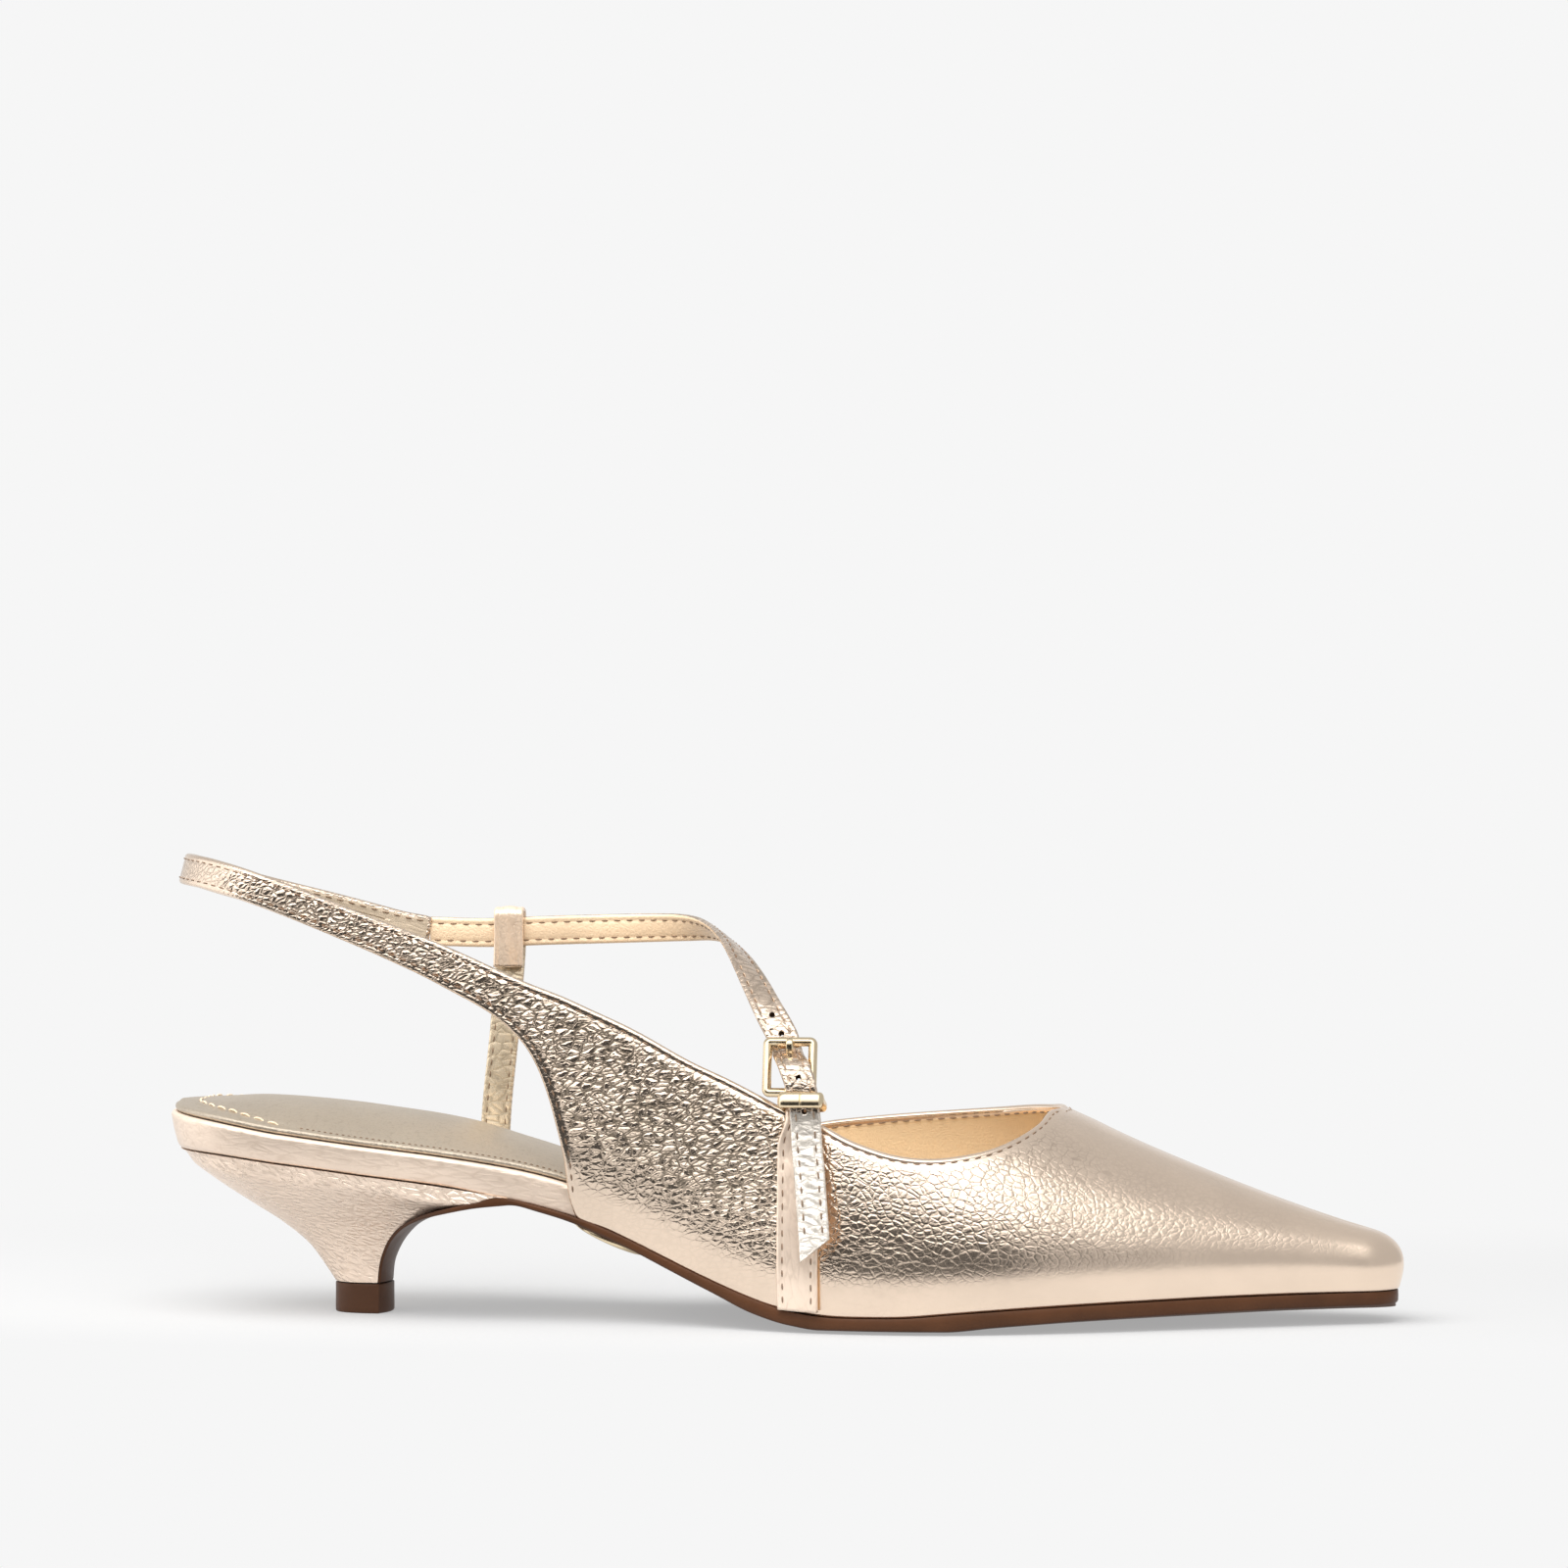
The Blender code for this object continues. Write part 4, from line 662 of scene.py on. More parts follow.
# painted light: the tail's copy of the strap leather is painted brighter and more silvery than the strap
m_tail_painted_light = foil_leather("tail_leather_painted_light", (0.94, 0.865, 0.775), 0.24, 0.55, pebble=(1.9, 1.9, 0.0), pebble_depth=0.00014, crease=(1.5, 2.2, 0.0), crease_depth=0.00008)
m_hole = sole_leather("cut_edge", (0.055, 0.028, 0.014), 0.7)
m_loop = creased_leather("loop_leather", (0.95, 0.75, 0.575), 0.26, 0.55, 1.0, 0.0, 0.00005)
m_sole = sole_leather("sole_leather", BROWN, 0.42)
m_tip = sole_leather("top_piece", (0.072, 0.030, 0.014), 0.42)
m_metal = polished_metal("buckle_metal", GOLD, 0.22)
m_disc = polished_metal("disc_metal", GOLD, 0.22)
m_thread = thread("brown_thread", (0.165, 0.095, 0.05))
m_taupe = thread("taupe_thread", (0.40, 0.28, 0.185))
m_cream = thread("cream_thread", (0.66, 0.52, 0.36))

# ------------------------------------------------------------------ upper
EDGE_TRIM = 0.72
CLUSTER = np.array([0, 0.18, 0.4, 0.65, 0.95, 1.2, 1.45, 1.75, 2.1, 2.6])
STITCH_ROW = 3
MIDDLE = 40
ROWS = 2 * len(CLUSTER) + MIDDLE


def column_rows(points, trim_low, trim_high):
    """A column of the upper resampled with rows crowded towards both of its ends."""
    total = length_of(points)
    lo, hi = trim_low, total - trim_high
    room = hi - lo
    k = min(1.0, room / 6.5)
    s = np.concatenate([lo + CLUSTER * k,
                        np.linspace(lo + CLUSTER[-1] * k, hi - CLUSTER[-1] * k, MIDDLE + 2)[1:-1],
                        hi - CLUSTER[::-1] * k])
    return resample(points, s)


FAN_FIRST = 191.4


def throat_point(across, side, ahead=0.0):
    """Point of the rounded front of the throat, at a distance across from the ridge: x and height."""
    x = np.array(FAN_FIRST + ahead - 0.13 * (math.hypot(across, 0.8) - 0.8))
    n = crown_of(x)[1]
    reach = abs(float(outline(x, side, UPPER_OUT)[1]) - float(plan(x)[0]))
    v = np.arccos(min(across / reach, 1.0) ** (n / 2)) * 2 / math.pi
    return float(x), float(wall_height(x, v))


THROAT = [(189.7, 6.0), (190.5, 3.2), (191.0, 1.4)]


def fan_column(x, side):
    v = np.linspace(0, 1, 121)
    x = float(x)
    if x <= FAN_START:
        rx = x
    else:
        t = (x - FAN_START) / (TOE_X - FAN_START)
        span = RIDGE_END - FAN_START
        a = (TOE_X - FAN_START) / span
        rx = FAN_START + span * (a * t + (1 - a) * t * t)
    foot = outline(np.array(x), side, UPPER_OUT)
    ridge = np.array([rx, plan(np.array(rx))[0]])
    zc, n = crown_of(np.array(rx))
    zf = float(bed(np.array(foot[0])))
    push = np.array([1.0, 0.0]) if x >= TOE_X else unit(outline(np.array(x), side, 1.0) - outline(np.array(x), side, 0.0))
    c, s = np.maximum(np.cos(math.pi / 2 * v), 0), np.sin(math.pi / 2 * v)
    a = 1 - c ** (2 / n)
    bulge = np.where(v < 0.8, TIP_BULGE * np.sin(math.pi * v / 0.8), 0.0)
    rise = (zc - zf) * s ** (2 / n)
    draw = TUCK * np.clip(1 - rise / TUCK_H, 0, 1) ** 2 * (1 - 0.45 * ease((x - 235) / 25))
    xy = foot + (ridge - foot) * a[:, None] + push * (bulge - draw)[:, None]
    dip = 0.5 * (1 - ease((x - FAN_FIRST) / 6.0)) * v ** 5
    fan = np.column_stack([xy, zf + rise])
    # just behind the throat the columns stand as upright as those of the open part
    xs_ = np.full(len(v), x)
    zs_ = wall_height(xs_, v)
    stand = np.column_stack([xs_, last_y(xs_, zs_, side), zs_])
    w = ease((x - FAN_FIRST) / 24.0)
    out = (1 - w) * stand + w * fan
    out[:, 2] -= dip
    return out


def wall_column(xb, zb, xt, zt, side, dip=0.0):
    f = np.linspace(0, 1, 121)
    vb = float(wall_param(np.array(xb), np.array(zb))) if zb else 0.0
    vt = float(wall_param(np.array(xt), np.array(zt)))
    x = xb + (xt - xb) * f
    z = wall_height(x, vb + (vt - vb) * f)
    y = outer_y(x, z) if side < 0 else last_y(x, z, 1)
    return np.column_stack([x, y, z - dip * f ** 5])


def sling_lines(step):
    path = spline(SLING, step)
    out = []
    for i, row in enumerate(path):
        a, b = path[max(i - 1, 0)], path[min(i + 1, len(path) - 1)]
        t = unit(b[:3] - a[:3])
        flat = unit(np.array((t[1], -t[0], 0.0)))
        lean = math.radians(row[4])
        n = flat * math.cos(lean) + np.array([0, 0, math.sin(lean)])
        w = unit(np.cross(n, t))
        out.append(np.array([row[:3] - w * row[3] / 2, row[:3] + w * row[3] / 2]))
    return out


def refine(columns, spacing):
    """Cubic spline across columns [n, rows, 3]; returns columns about `spacing` apart."""
    g = np.array(columns)
    mid = g.mean(axis=1)
    top = g[:, -1]
    step = np.maximum(np.linalg.norm(np.diff(mid, axis=0), axis=1), np.linalg.norm(np.diff(top, axis=0), axis=1))
    s = np.concatenate([[0], np.cumsum(step)])
    f = cubic(np.column_stack([s, g.reshape(len(g), -1)]))
    t = np.concatenate([np.linspace(a, b, max(1, int(round((b - a) / spacing))), endpoint=False)
                        for a, b in zip(s[:-1], s[1:])] + [[s[-1]]])
    return f(t).reshape(len(t), *g.shape[1:])


toe_steps = [TOE_X - TOE_ROUND[0] * (1 - math.cos(math.pi / 2 * k / 22)) for k in range(23)][::-1]
fan_x = list(np.arange(FAN_FIRST, TOE_X - TOE_ROUND[0] - 0.2, 0.9)) + toe_steps
lat_fan = [column_rows(fan_column(x, -1), 0.25, 0.0) for x in fan_x]
med_fan = [column_rows(fan_column(x, 1), 0.25, 0.0) for x in fan_x]
sling = [column_rows(p, EDGE_TRIM, EDGE_TRIM) for p in sling_lines(2.2)]
outer_cols = [column_rows(wall_column(*r, -1), EDGE_TRIM if r[1] else 0.25, EDGE_TRIM) for r in OUTER]
outer_cols += [column_rows(wall_column(xb, 0, *throat_point(a, -1), -1, 0.5 - 0.03 * a), 0.25, 0.0) for xb, a in THROAT]
inner_cols = [column_rows(wall_column(xb, 0, *throat_point(a, 1), 1, 0.5 - 0.03 * a), 0.25, 0.0) for xb, a in THROAT[::-1]]
inner_cols += [column_rows(wall_column(r[0], 0, r[1], r[2], 1), 0.25, EDGE_TRIM) for r in INNER]
lat_back = refine(sling + outer_cols + [lat_fan[0]], 1.0)[:-1]
med_back = refine([med_fan[0]] + inner_cols, 1.0)[1:]
lateral = np.concatenate([lat_back, np.array(lat_fan)])
medial = np.concatenate([np.array(med_fan)[::-1], med_back])


def settle(g, times, keep_top):
    """Light smoothing of a grid of points along its columns."""
    g = g.copy()
    for _ in range(times):
        h = g.copy()
        h[1:-1] = 0.25 * g[:-2] + 0.5 * g[1:-1] + 0.25 * g[2:]
        if keep_top is not None:
            h[keep_top] = g[keep_top]
        g = h
    return g


ridge_lat, ridge_med = lateral[len(lat_back):, -1].copy(), medial[: len(med_fan), -1].copy()
soft = ease((np.arange(ROWS)[::-1] - 1) / 14)[None, :, None]
lateral = (1 - soft) * lateral + soft * settle(lateral, 5, slice(-3, None))
medial = (1 - soft) * medial + soft * settle(medial, 5, slice(0, 3))
lateral[len(lat_back):, -1], medial[: len(med_fan), -1] = ridge_lat, ridge_med
# outward normals of both sides of the upper
lat_n, med_n = normals_of_grid(lateral), normals_of_grid(medial)
if lat_n[len(lat_back) // 2 + 60, ROWS // 2, 1] > 0:
    lat_n = -lat_n
if med_n[len(med_fan) + 30, ROWS // 2, 1] < 0:
    med_n = -med_n


def edge_relief(g, nrm, free_low, free_high):
    """Stitch valley and folded bead along the free edges of a grid."""
    out = g.copy()
    total = np.linalg.norm(np.diff(g, axis=1), axis=2)
    s = np.concatenate([np.zeros((len(g), 1)), np.cumsum(total, axis=1)], axis=1)
    for free, d in ((free_low, s), (free_high, s[:, -1:] - s)):
        d = d + EDGE_TRIM
        h = -0.09 * np.exp(-((d - 1.37) / 0.36) ** 2) + 0.05 * np.exp(-((d - 0.8) / 0.35) ** 2)
        h = h * (0.35 + 0.65 * ease((g[..., 0] - 60) / 30))
        out = out + nrm * (h * free[:, None])[..., None]
    return out


down = ease((lateral[:, :7, 0] - 84) / 5) * (1 - ease((lateral[:, :7, 0] - 130) / 8)) * (lateral[:, :1, 2] - bed(lateral[:, :1, 0]) < 0.8)
lateral[:, :7, 2] -= 0.34 * down * (1 - np.arange(7) / 7)
n_lat, n_med = len(lateral), len(medial)
bottom_z = lateral[:, 0, 2] - bed(lateral[:, 0, 0])
free_low_lat = ease((bottom_z - 0.8) / 2.0)
free_top_lat = ease((len(lat_back) - np.arange(n_lat)) / 8)
free_top_med = ease((np.arange(n_med) - len(med_fan) + 1) / 8)
lateral = edge_relief(lateral, lat_n, free_low_lat, free_top_lat)
medial = edge_relief(medial, med_n, np.zeros(n_med), free_top_med)

verts = np.vstack([lateral.reshape(-1, 3), medial.reshape(-1, 3)])
ids_lat = np.arange(n_lat * ROWS).reshape(n_lat, ROWS)
ids_med = n_lat * ROWS + np.arange(n_med * ROWS).reshape(n_med, ROWS)
# the ridge and the tip of the toe are shared by both sides
same = {}
for k in range(len(lat_fan)):
    same[ids_med[len(med_fan) - 1 - k, -1]] = ids_lat[len(lat_back) + k, -1]
for j in range(ROWS):
    same[ids_med[0, j]] = ids_lat[-1, j]
pick = np.arange(len(verts))
for a, b in same.items():
    pick[a] = b
quads = []
for ids in (ids_lat, ids_med):
    q = np.stack([ids[:-1, :-1], ids[1:, :-1], ids[1:, 1:], ids[:-1, 1:]], -1).reshape(-1, 4)
    quads.append(pick[q])
quads = np.vstack(quads)
# lateral columns run towards the toe and medial ones away from it, so both face out
u_verts, u_faces, u_index, u_src, u_normal = shell(verts, quads, UPPER_WALL)
if u_normal[ids_lat[n_lat // 2, ROWS // 2], 1] > 0:
    u_verts, u_faces, u_index, u_src, u_normal = shell(verts, quads[:, ::-1], UPPER_WALL)

grain_x = smooth([(-5, 0.22), (14, 0.28), (23, 0.45), (31, 0.95), (45, 0.95), (66, 1.1), (115, 1.1), (132, 0.72), (145, 0.15), (165, 0.08), (190, 0.08),
                  (215, 0.09), (240, 0.09), (262, 0.07)])
crease_x = smooth([(-5, 0.3), (60, 0.3), (120, 0.4), (140, 0.70), (165, 0.66), (185, 0.48), (198, 0.27), (210, 0.16),
                   (228, 0.06), (262, 0.02)])


def grain_of(p):
    """Depth of the pebbles over the upper: strong on the quarter, pressed flat low down and at the toe."""
    x, z = p[:, 0], p[:, 2]
    low = np.where(x > 60, ease((z - bed(x) - 4.0) / np.where(x < 140, 19.0, 12.0)), 1.0)
    top = 1 - 0.6 * ease((z - (crown_of(x)[:, 0] - 7.0)) / 5.0) * (x > 192)
    inner = 1 + 0.9 * ease((p[:, 1] - 6) / 10) * ease((x - 120) / 10)
    return grain_x(x) * (0.05 + 0.95 * low) * top * inner


def crease_of(p):
    x, z = p[:, 0], p[:, 2]
    low = np.where(x > 60, ease((z - bed(x) - 5.0) / 9.0), 1.0)
    top = 1 - 0.7 * ease((z - (crown_of(x)[:, 0] - 9.0)) / 6.0) * (x > 188)
    inner = 1 - 0.62 * ease((p[:, 1] - 6) / 10)
    return crease_x(x) * (0.06 + 0.94 * low) * top * inner


edge_ids = np.concatenate([ids_lat[: len(lat_back), -1], ids_med[len(med_fan):, -1],
                           ids_lat[free_low_lat > 0.5, 0]])
tree = kdtree.KDTree(len(edge_ids))
for i, e in enumerate(edge_ids):
    tree.insert(verts[e], i)
tree.balance()
near = np.array([tree.find(v)[2] for v in verts])
on_sling = 1 - ease((verts[:, 0] - 60) / 30)
calm = 0.10 + 0.25 * on_sling + (0.90 - 0.25 * on_sling) * ease((near - 0.9 + 0.6 * on_sling) / (1.5 - 0.5 * on_sling))
g_src, c_src = grain_of(verts) * calm, crease_of(verts) * calm
t_src = 1 - ease((verts[:, 0] - 50) / 30)
# the middle of the outer quarter is painted a little darker than its ends: painted shade
away = ((verts[:, 0] - 113) / 30) ** 2 + ((verts[:, 2] - 36) / 15) ** 2
quarter_shade_src = 0.34 * np.exp(-away) * (verts[:, 1] < 0)
# the leather is turned over the free edges as far as the stitching inside
turned_in = np.zeros(len(verts), bool)
turned_in[ids_lat[: len(lat_back), -1 - STITCH_ROW:]] = True
turned_in[ids_med[len(med_fan):, -1 - STITCH_ROW:]] = True
turned_in[ids_lat[free_low_lat > 0.5, : STITCH_ROW + 1]] = True
for i, q in enumerate(quads):
    if verts[q, 0].mean() < 58:
        u_index[len(quads) + i] = 2
    elif turned_in[q].all():
        u_index[len(quads) + i] = 0
u_index = [0 if i >= 2 * len(quads) else m for i, m in enumerate(u_index)]
upper = make("upper_shell", u_verts, u_faces, [m_upper, m_lining, m_sling], u_index, {"grain": g_src[u_src], "crease": c_src[u_src], "tight": t_src[u_src], "quarter_shade": quarter_shade_src[u_src]},
             weld=0.0004, slot="upper_leather", stands_for="upper")


tip = Vector(to_row([RIDGE_END - 0.3, float(plan(np.array(RIDGE_END))[0]), float(crown_of(np.array(RIDGE_END))[0])]).tolist())
bm = bmesh.new()
bm.from_mesh(upper.data)
# the columns meet at the end of the ridge: join their closest points and even out the rest
crowd = [q for q in bm.verts if (q.co - tip).length < 0.003]
bmesh.ops.remove_doubles(bm, verts=crowd, dist=0.00028)
gathered = [q for q in bm.verts if (q.co - tip).length < 0.0042]
for _ in range(14):
    bmesh.ops.smooth_vert(bm, verts=gathered, factor=0.5, use_axis_x=True, use_axis_y=True, use_axis_z=True)
bm.to_mesh(upper.data)
bm.free()


def run_of(ids, row, inside=False, sel=slice(None)):
    i = ids[sel, row]
    p, n = verts[i], u_normal[i]
    return (p - UPPER_WALL * n, -n) if inside else (p, n)


rear = np.nonzero(free_low_lat > 0.6)[0]
lat_sel = slice(0, len(lat_back) - 6)
med_sel = slice(len(med_fan) + 6, n_med - 4)
top_lat, top_lat_in = run_of(ids_lat, ROWS - 1 - STITCH_ROW, False, lat_sel), run_of(ids_lat, ROWS - 1 - STITCH_ROW, True, lat_sel)
top_med, top_med_in = run_of(ids_med, ROWS - 1 - STITCH_ROW, False, med_sel), run_of(ids_med, ROWS - 1 - STITCH_ROW, True, med_sel)
low_lat, low_lat_in = run_of(ids_lat, STITCH_ROW, False, rear), run_of(ids_lat, STITCH_ROW, True, rear)
# the seam goes on round the front of the throat, over the ridge
reach_l, reach_m = (abs(run[0][e][1] - float(plan(run[0][e][0])[0])) for run, e in ((top_lat, -1), (top_med, 0)))
bridge = []
for a_ in np.linspace(-reach_l + 1.0, reach_m - 1.0, 40):
    w_ = -1 if a_ < 0 else 1
    x_, z_ = throat_point(abs(a_), w_, 0.65)
    bridge.append((x_, float(last_y(np.array(x_), np.array(z_), w_)), z_ - 0.58 + 0.03 * abs(a_)))
bridge = np.array(bridge)
fore = bridge + np.array([1.0, 0.0, 0.0]) * 0.5
fore[:, 2] = [throat_point(abs(a_), -1 if a_ < 0 else 1, 1.15)[1] - 0.47 + 0.03 * abs(a_) for a_ in np.linspace(-reach_l + 1.0, reach_m - 1.0, 40)]
bridge_n = unit(np.cross(fore - bridge, np.gradient(bridge, axis=0)))
bridge_n = bridge_n * np.sign(bridge_n[:, 2:])
stitches("upper_stitching", [top_lat, (bridge, bridge_n), top_lat_in, top_med, top_med_in, low_lat, low_lat_in], m_thread,
         length=1.6, gap=1.0, radius=0.155)


# ------------------------------------------------------------------ board, sock, outsole, heel
def stations(n_heel, n_mid, n_toe, x0=HEEL_X):
    a = [HEEL_X + HEEL_ROUND[0] * (1 - math.cos(math.pi / 2 * k / n_heel)) for k in range(n_heel)]
    b = [TOE_X - TOE_ROUND[0] * (1 - math.cos(math.pi / 2 * k / n_toe)) for k in range(n_toe)][::-1]
    xs = np.array(a + list(np.linspace(HEEL_X + HEEL_ROUND[0], TOE_X - TOE_ROUND[0] - 1.0, n_mid)) + b)
    return xs[xs >= x0]


def plank(xs, rings, low, high, across):
    """Sections of a body on the plan outline: edge rings bottom to top, then over, down and under."""
    left = np.stack([np.column_stack([outline(xs, -1, g(xs)), h(xs)]) for g, h in rings], 1)
    right = np.stack([np.column_stack([outline(xs, 1, g(xs)), h(xs)]) for g, h in rings], 1)
    over, under = [], []
    for q in across:
        p = left[:, -1] * (1 + q) / 2 + right[:, -1] * (1 - q) / 2
        over.append(np.column_stack([p[:, 0], p[:, 1], high(xs, q)]))
        p = left[:, 0] * (1 + q) / 2 + right[:, 0] * (1 - q) / 2
        under.append(np.column_stack([p[:, 0], p[:, 1], low(xs, q)]))
    return np.concatenate([left, np.stack(over, 1), right[:, ::-1], np.stack(under[::-1], 1)], 1)


def board_thick(x):
    return seat(x)[..., 0]


def flare(x):
    return RIM_FLARE * (1 - ease((np.asarray(x, float) - 62) / 22))


def board_top(x):
    return bed(x) + board_thick(x)


def dome(x):
    return seat(x)[..., 1]


def const(v):
    return lambda x: np.full_like(np.asarray(x, float), v)


xs = stations(36, 190, 14)
ACROSS = np.cos(np.linspace(0.05, math.pi - 0.05, 25))
def ahead(x):
    """0 over the heel, 1 where the rim sits on the sole."""
    return ease((np.asarray(x, float) - 62) / 12)


rim_rings = [(lambda x: -1.0 + 0.7 * ahead(x), lambda x: bed(x) - 0.36 * ahead(x)), (lambda x: -0.45 + 0.35 * ahead(x), lambda x: bed(x) + 0.06 - 0.33 * ahead(x)),
             (lambda x: -0.15 + 0.15 * ahead(x), lambda x: bed(x) + 0.3 - 0.3 * ahead(x)),
             (lambda x: 0.12 * flare(x) + 0.04, lambda x: bed(x) + 0.14 * board_thick(x)),
             (lambda x: 0.42 * flare(x) + 0.05, lambda x: bed(x) + 0.36 * board_thick(x)),
             (lambda x: 0.7 * flare(x) + 0.05, lambda x: bed(x) + 0.6 * board_thick(x)),
             (lambda x: 0.92 * flare(x) + 0.03, lambda x: board_top(x) - 1.3),
             (lambda x: flare(x), lambda x: board_top(x) - 0.75),
             (lambda x: flare(x) - 0.12, lambda x: board_top(x) - 0.38),
             (lambda x: flare(x) - 0.4, lambda x: board_top(x) - 0.1),
             (lambda x: flare(x) - 0.9, board_top)]
v, f = grid(plank(xs, rim_rings, lambda x, q: bed(x) - 0.36 * ahead(x), lambda x, q: board_top(x), ACROSS), caps=False)
make("rim_board", v, f, m_rim, slot="rim_leather",
     stands_for="insole_board")

sock_base = lambda x: board_top(x) + GAP
sock_seam = smooth([(0.3, 4.6), (12, 4.2), (20, 2.9), (27, 1.5), (33, 0.75), (44, 0.5), (60, 0.45), (120, 0.45)])


def sock_top(x, q):
    """Padded top of the sock, with a shallow furrow along its seam."""
    half = np.maximum(half_width(x) + flare(x) - SOCK_INSET - 0.6, 0.5)
    rise = dome(x) * (1 - np.abs(q) ** 2.4)
    d = half * (1 - np.abs(q))
    furrow = -0.34 * np.exp(-((d - sock_seam(x)) / 0.75) ** 2) * (1 - ease((x - 26) / 8)) * ease((x - 4.5) / 5)
    return sock_base(x) + SOCK_EDGE + rise + furrow


def sock_height(e):
    half = np.maximum(half_width(e[:, 0]) + flare(e[:, 0]) - SOCK_INSET - 0.6, 0.5)
    return sock_top(e[:, 0], np.clip(np.abs(e[:, 1] - plan(e[:, 0])[:, 0]) / half, 0, 1))


sock_rings = [(lambda x: flare(x) - SOCK_INSET - 0.25, sock_base),
              (lambda x: flare(x) - SOCK_INSET - 0.05, lambda x: sock_base(x) + 0.25 * SOCK_EDGE),
              (lambda x: flare(x) - SOCK_INSET, lambda x: sock_base(x) + 0.55 * SOCK_EDGE),
              (lambda x: flare(x) - SOCK_INSET - 0.12, lambda x: sock_base(x) + 0.82 * SOCK_EDGE),
              (lambda x: flare(x) - SOCK_INSET - 0.35, lambda x: sock_base(x) + 0.96 * SOCK_EDGE),
              (lambda x: flare(x) - SOCK_INSET - 0.6, lambda x: sock_base(x) + SOCK_EDGE)]
SOCK_ACROSS = np.concatenate([np.linspace(0.995, 0.6, 34), np.linspace(0.57, -0.57, 25), np.linspace(-0.6, -0.995, 34)])
v, f = grid(plank(xs, sock_rings, lambda x, q: sock_base(x), sock_top, SOCK_ACROSS), caps=False)
sock = make("insole_sock", v, f, m_sock, slot="sock_leather", stands_for="insole")

# seat stitching: round the heel 4 mm in from the edge, then running out to the edge
seat_run = []
for side, order in ((-1, -1), (1, 1)):
    sx = np.concatenate([HEEL_X + HEEL_ROUND[0] * (1 - np.cos(np.linspace(0.3, math.pi / 2, 60))), np.linspace(27.5, 96, 90)])
    e = outline(sx, side, flare(sx) - SOCK_INSET - 0.6 - sock_seam(sx))
    seat_run.append(np.column_stack([e, sock_height(e)])[::order])
seat_run = np.vstack(seat_run)
seat_s = np.concatenate([[0], np.cumsum(np.linalg.norm(np.diff(seat_run, axis=0), axis=1))])
round_back = seat_run[seat_run[:, 0] < 29]
stitches("seat_stitching", [(round_back, np.tile([0.0, 0.0, 1.0], (len(round_back), 1)))], m_cream, length=2.7, gap=0.9, radius=0.26)
along = [seat_run[(seat_run[:, 0] >= 30) & (seat_run[:, 1] * w < 0)] for w in (1, -1)]
stitches("sock_edge_stitching", [(a_, np.tile([0.0, 0.0, 1.0], (len(a_), 1))) for a_ in along], m_thread, length=0.75, gap=0.55, radius=0.10)

SOLE_ACROSS = np.sin(np.linspace(-1.45, 1.45, 23))
cover = smooth(BREAST)
heel_at = smooth([(i, *r) for i, r in enumerate(HEEL)])


def heel_outline(row, fshare):
    half, share = row[4], row[5]
    d = half * round_end(fshare, 0.75, 2.0)
    x_seat = HEEL_X + fshare * (HEEL[-1][2] - HEEL_X)
    s = half * half_width(x_seat) / 25.2
    swing = plan(x_seat)[..., 0] * share
    w = (1 - share) * d + share * s
    return swing - w, swing + w


def sole_section(x):
    x = np.array(float(x))
    edge_z, crown, flat = sole_of(x)
    edge_z = edge_z - 0.4 * float(1 - ease((x - 108) / 16))
    top = float(bed(x)) - 0.4
    pts = []
    rings = [(SOLE_OUT - 0.12, top), (SOLE_OUT, top - 0.25), (SOLE_OUT + 0.03, (top + edge_z + 0.5) / 2), (SOLE_OUT, edge_z + 0.5),
             (SOLE_OUT - 0.18, edge_z + 0.16)]
    left = [np.append(outline(x, -1, np.array(g)), h) for g, h in rings]
    right = [np.append(outline(x, 1, np.array(g)), h) for g, h in rings]
    lo_l, lo_r = outline(x, -1, np.array(SOLE_OUT - 0.5)), outline(x, 1, np.array(SOLE_OUT - 0.5))
    for q in SOLE_ACROSS:
        xy = lo_l * (1 - q) / 2 + lo_r * (1 + q) / 2
        r = max(0.0, (abs(q) - flat) / (1 - flat))
        pts.append(np.array([xy[0], xy[1], edge_z - crown * (1 - min(r, 1) ** 2)]))
    up = []
    for q in (0.6, 0.0, -0.6):
        xy = left[0][:2] * (1 - q) / 2 + right[0][:2] * (1 + q) / 2
        up.append(np.array([xy[0], xy[1], top]))
    return np.array(left + pts + right[::-1] + up)


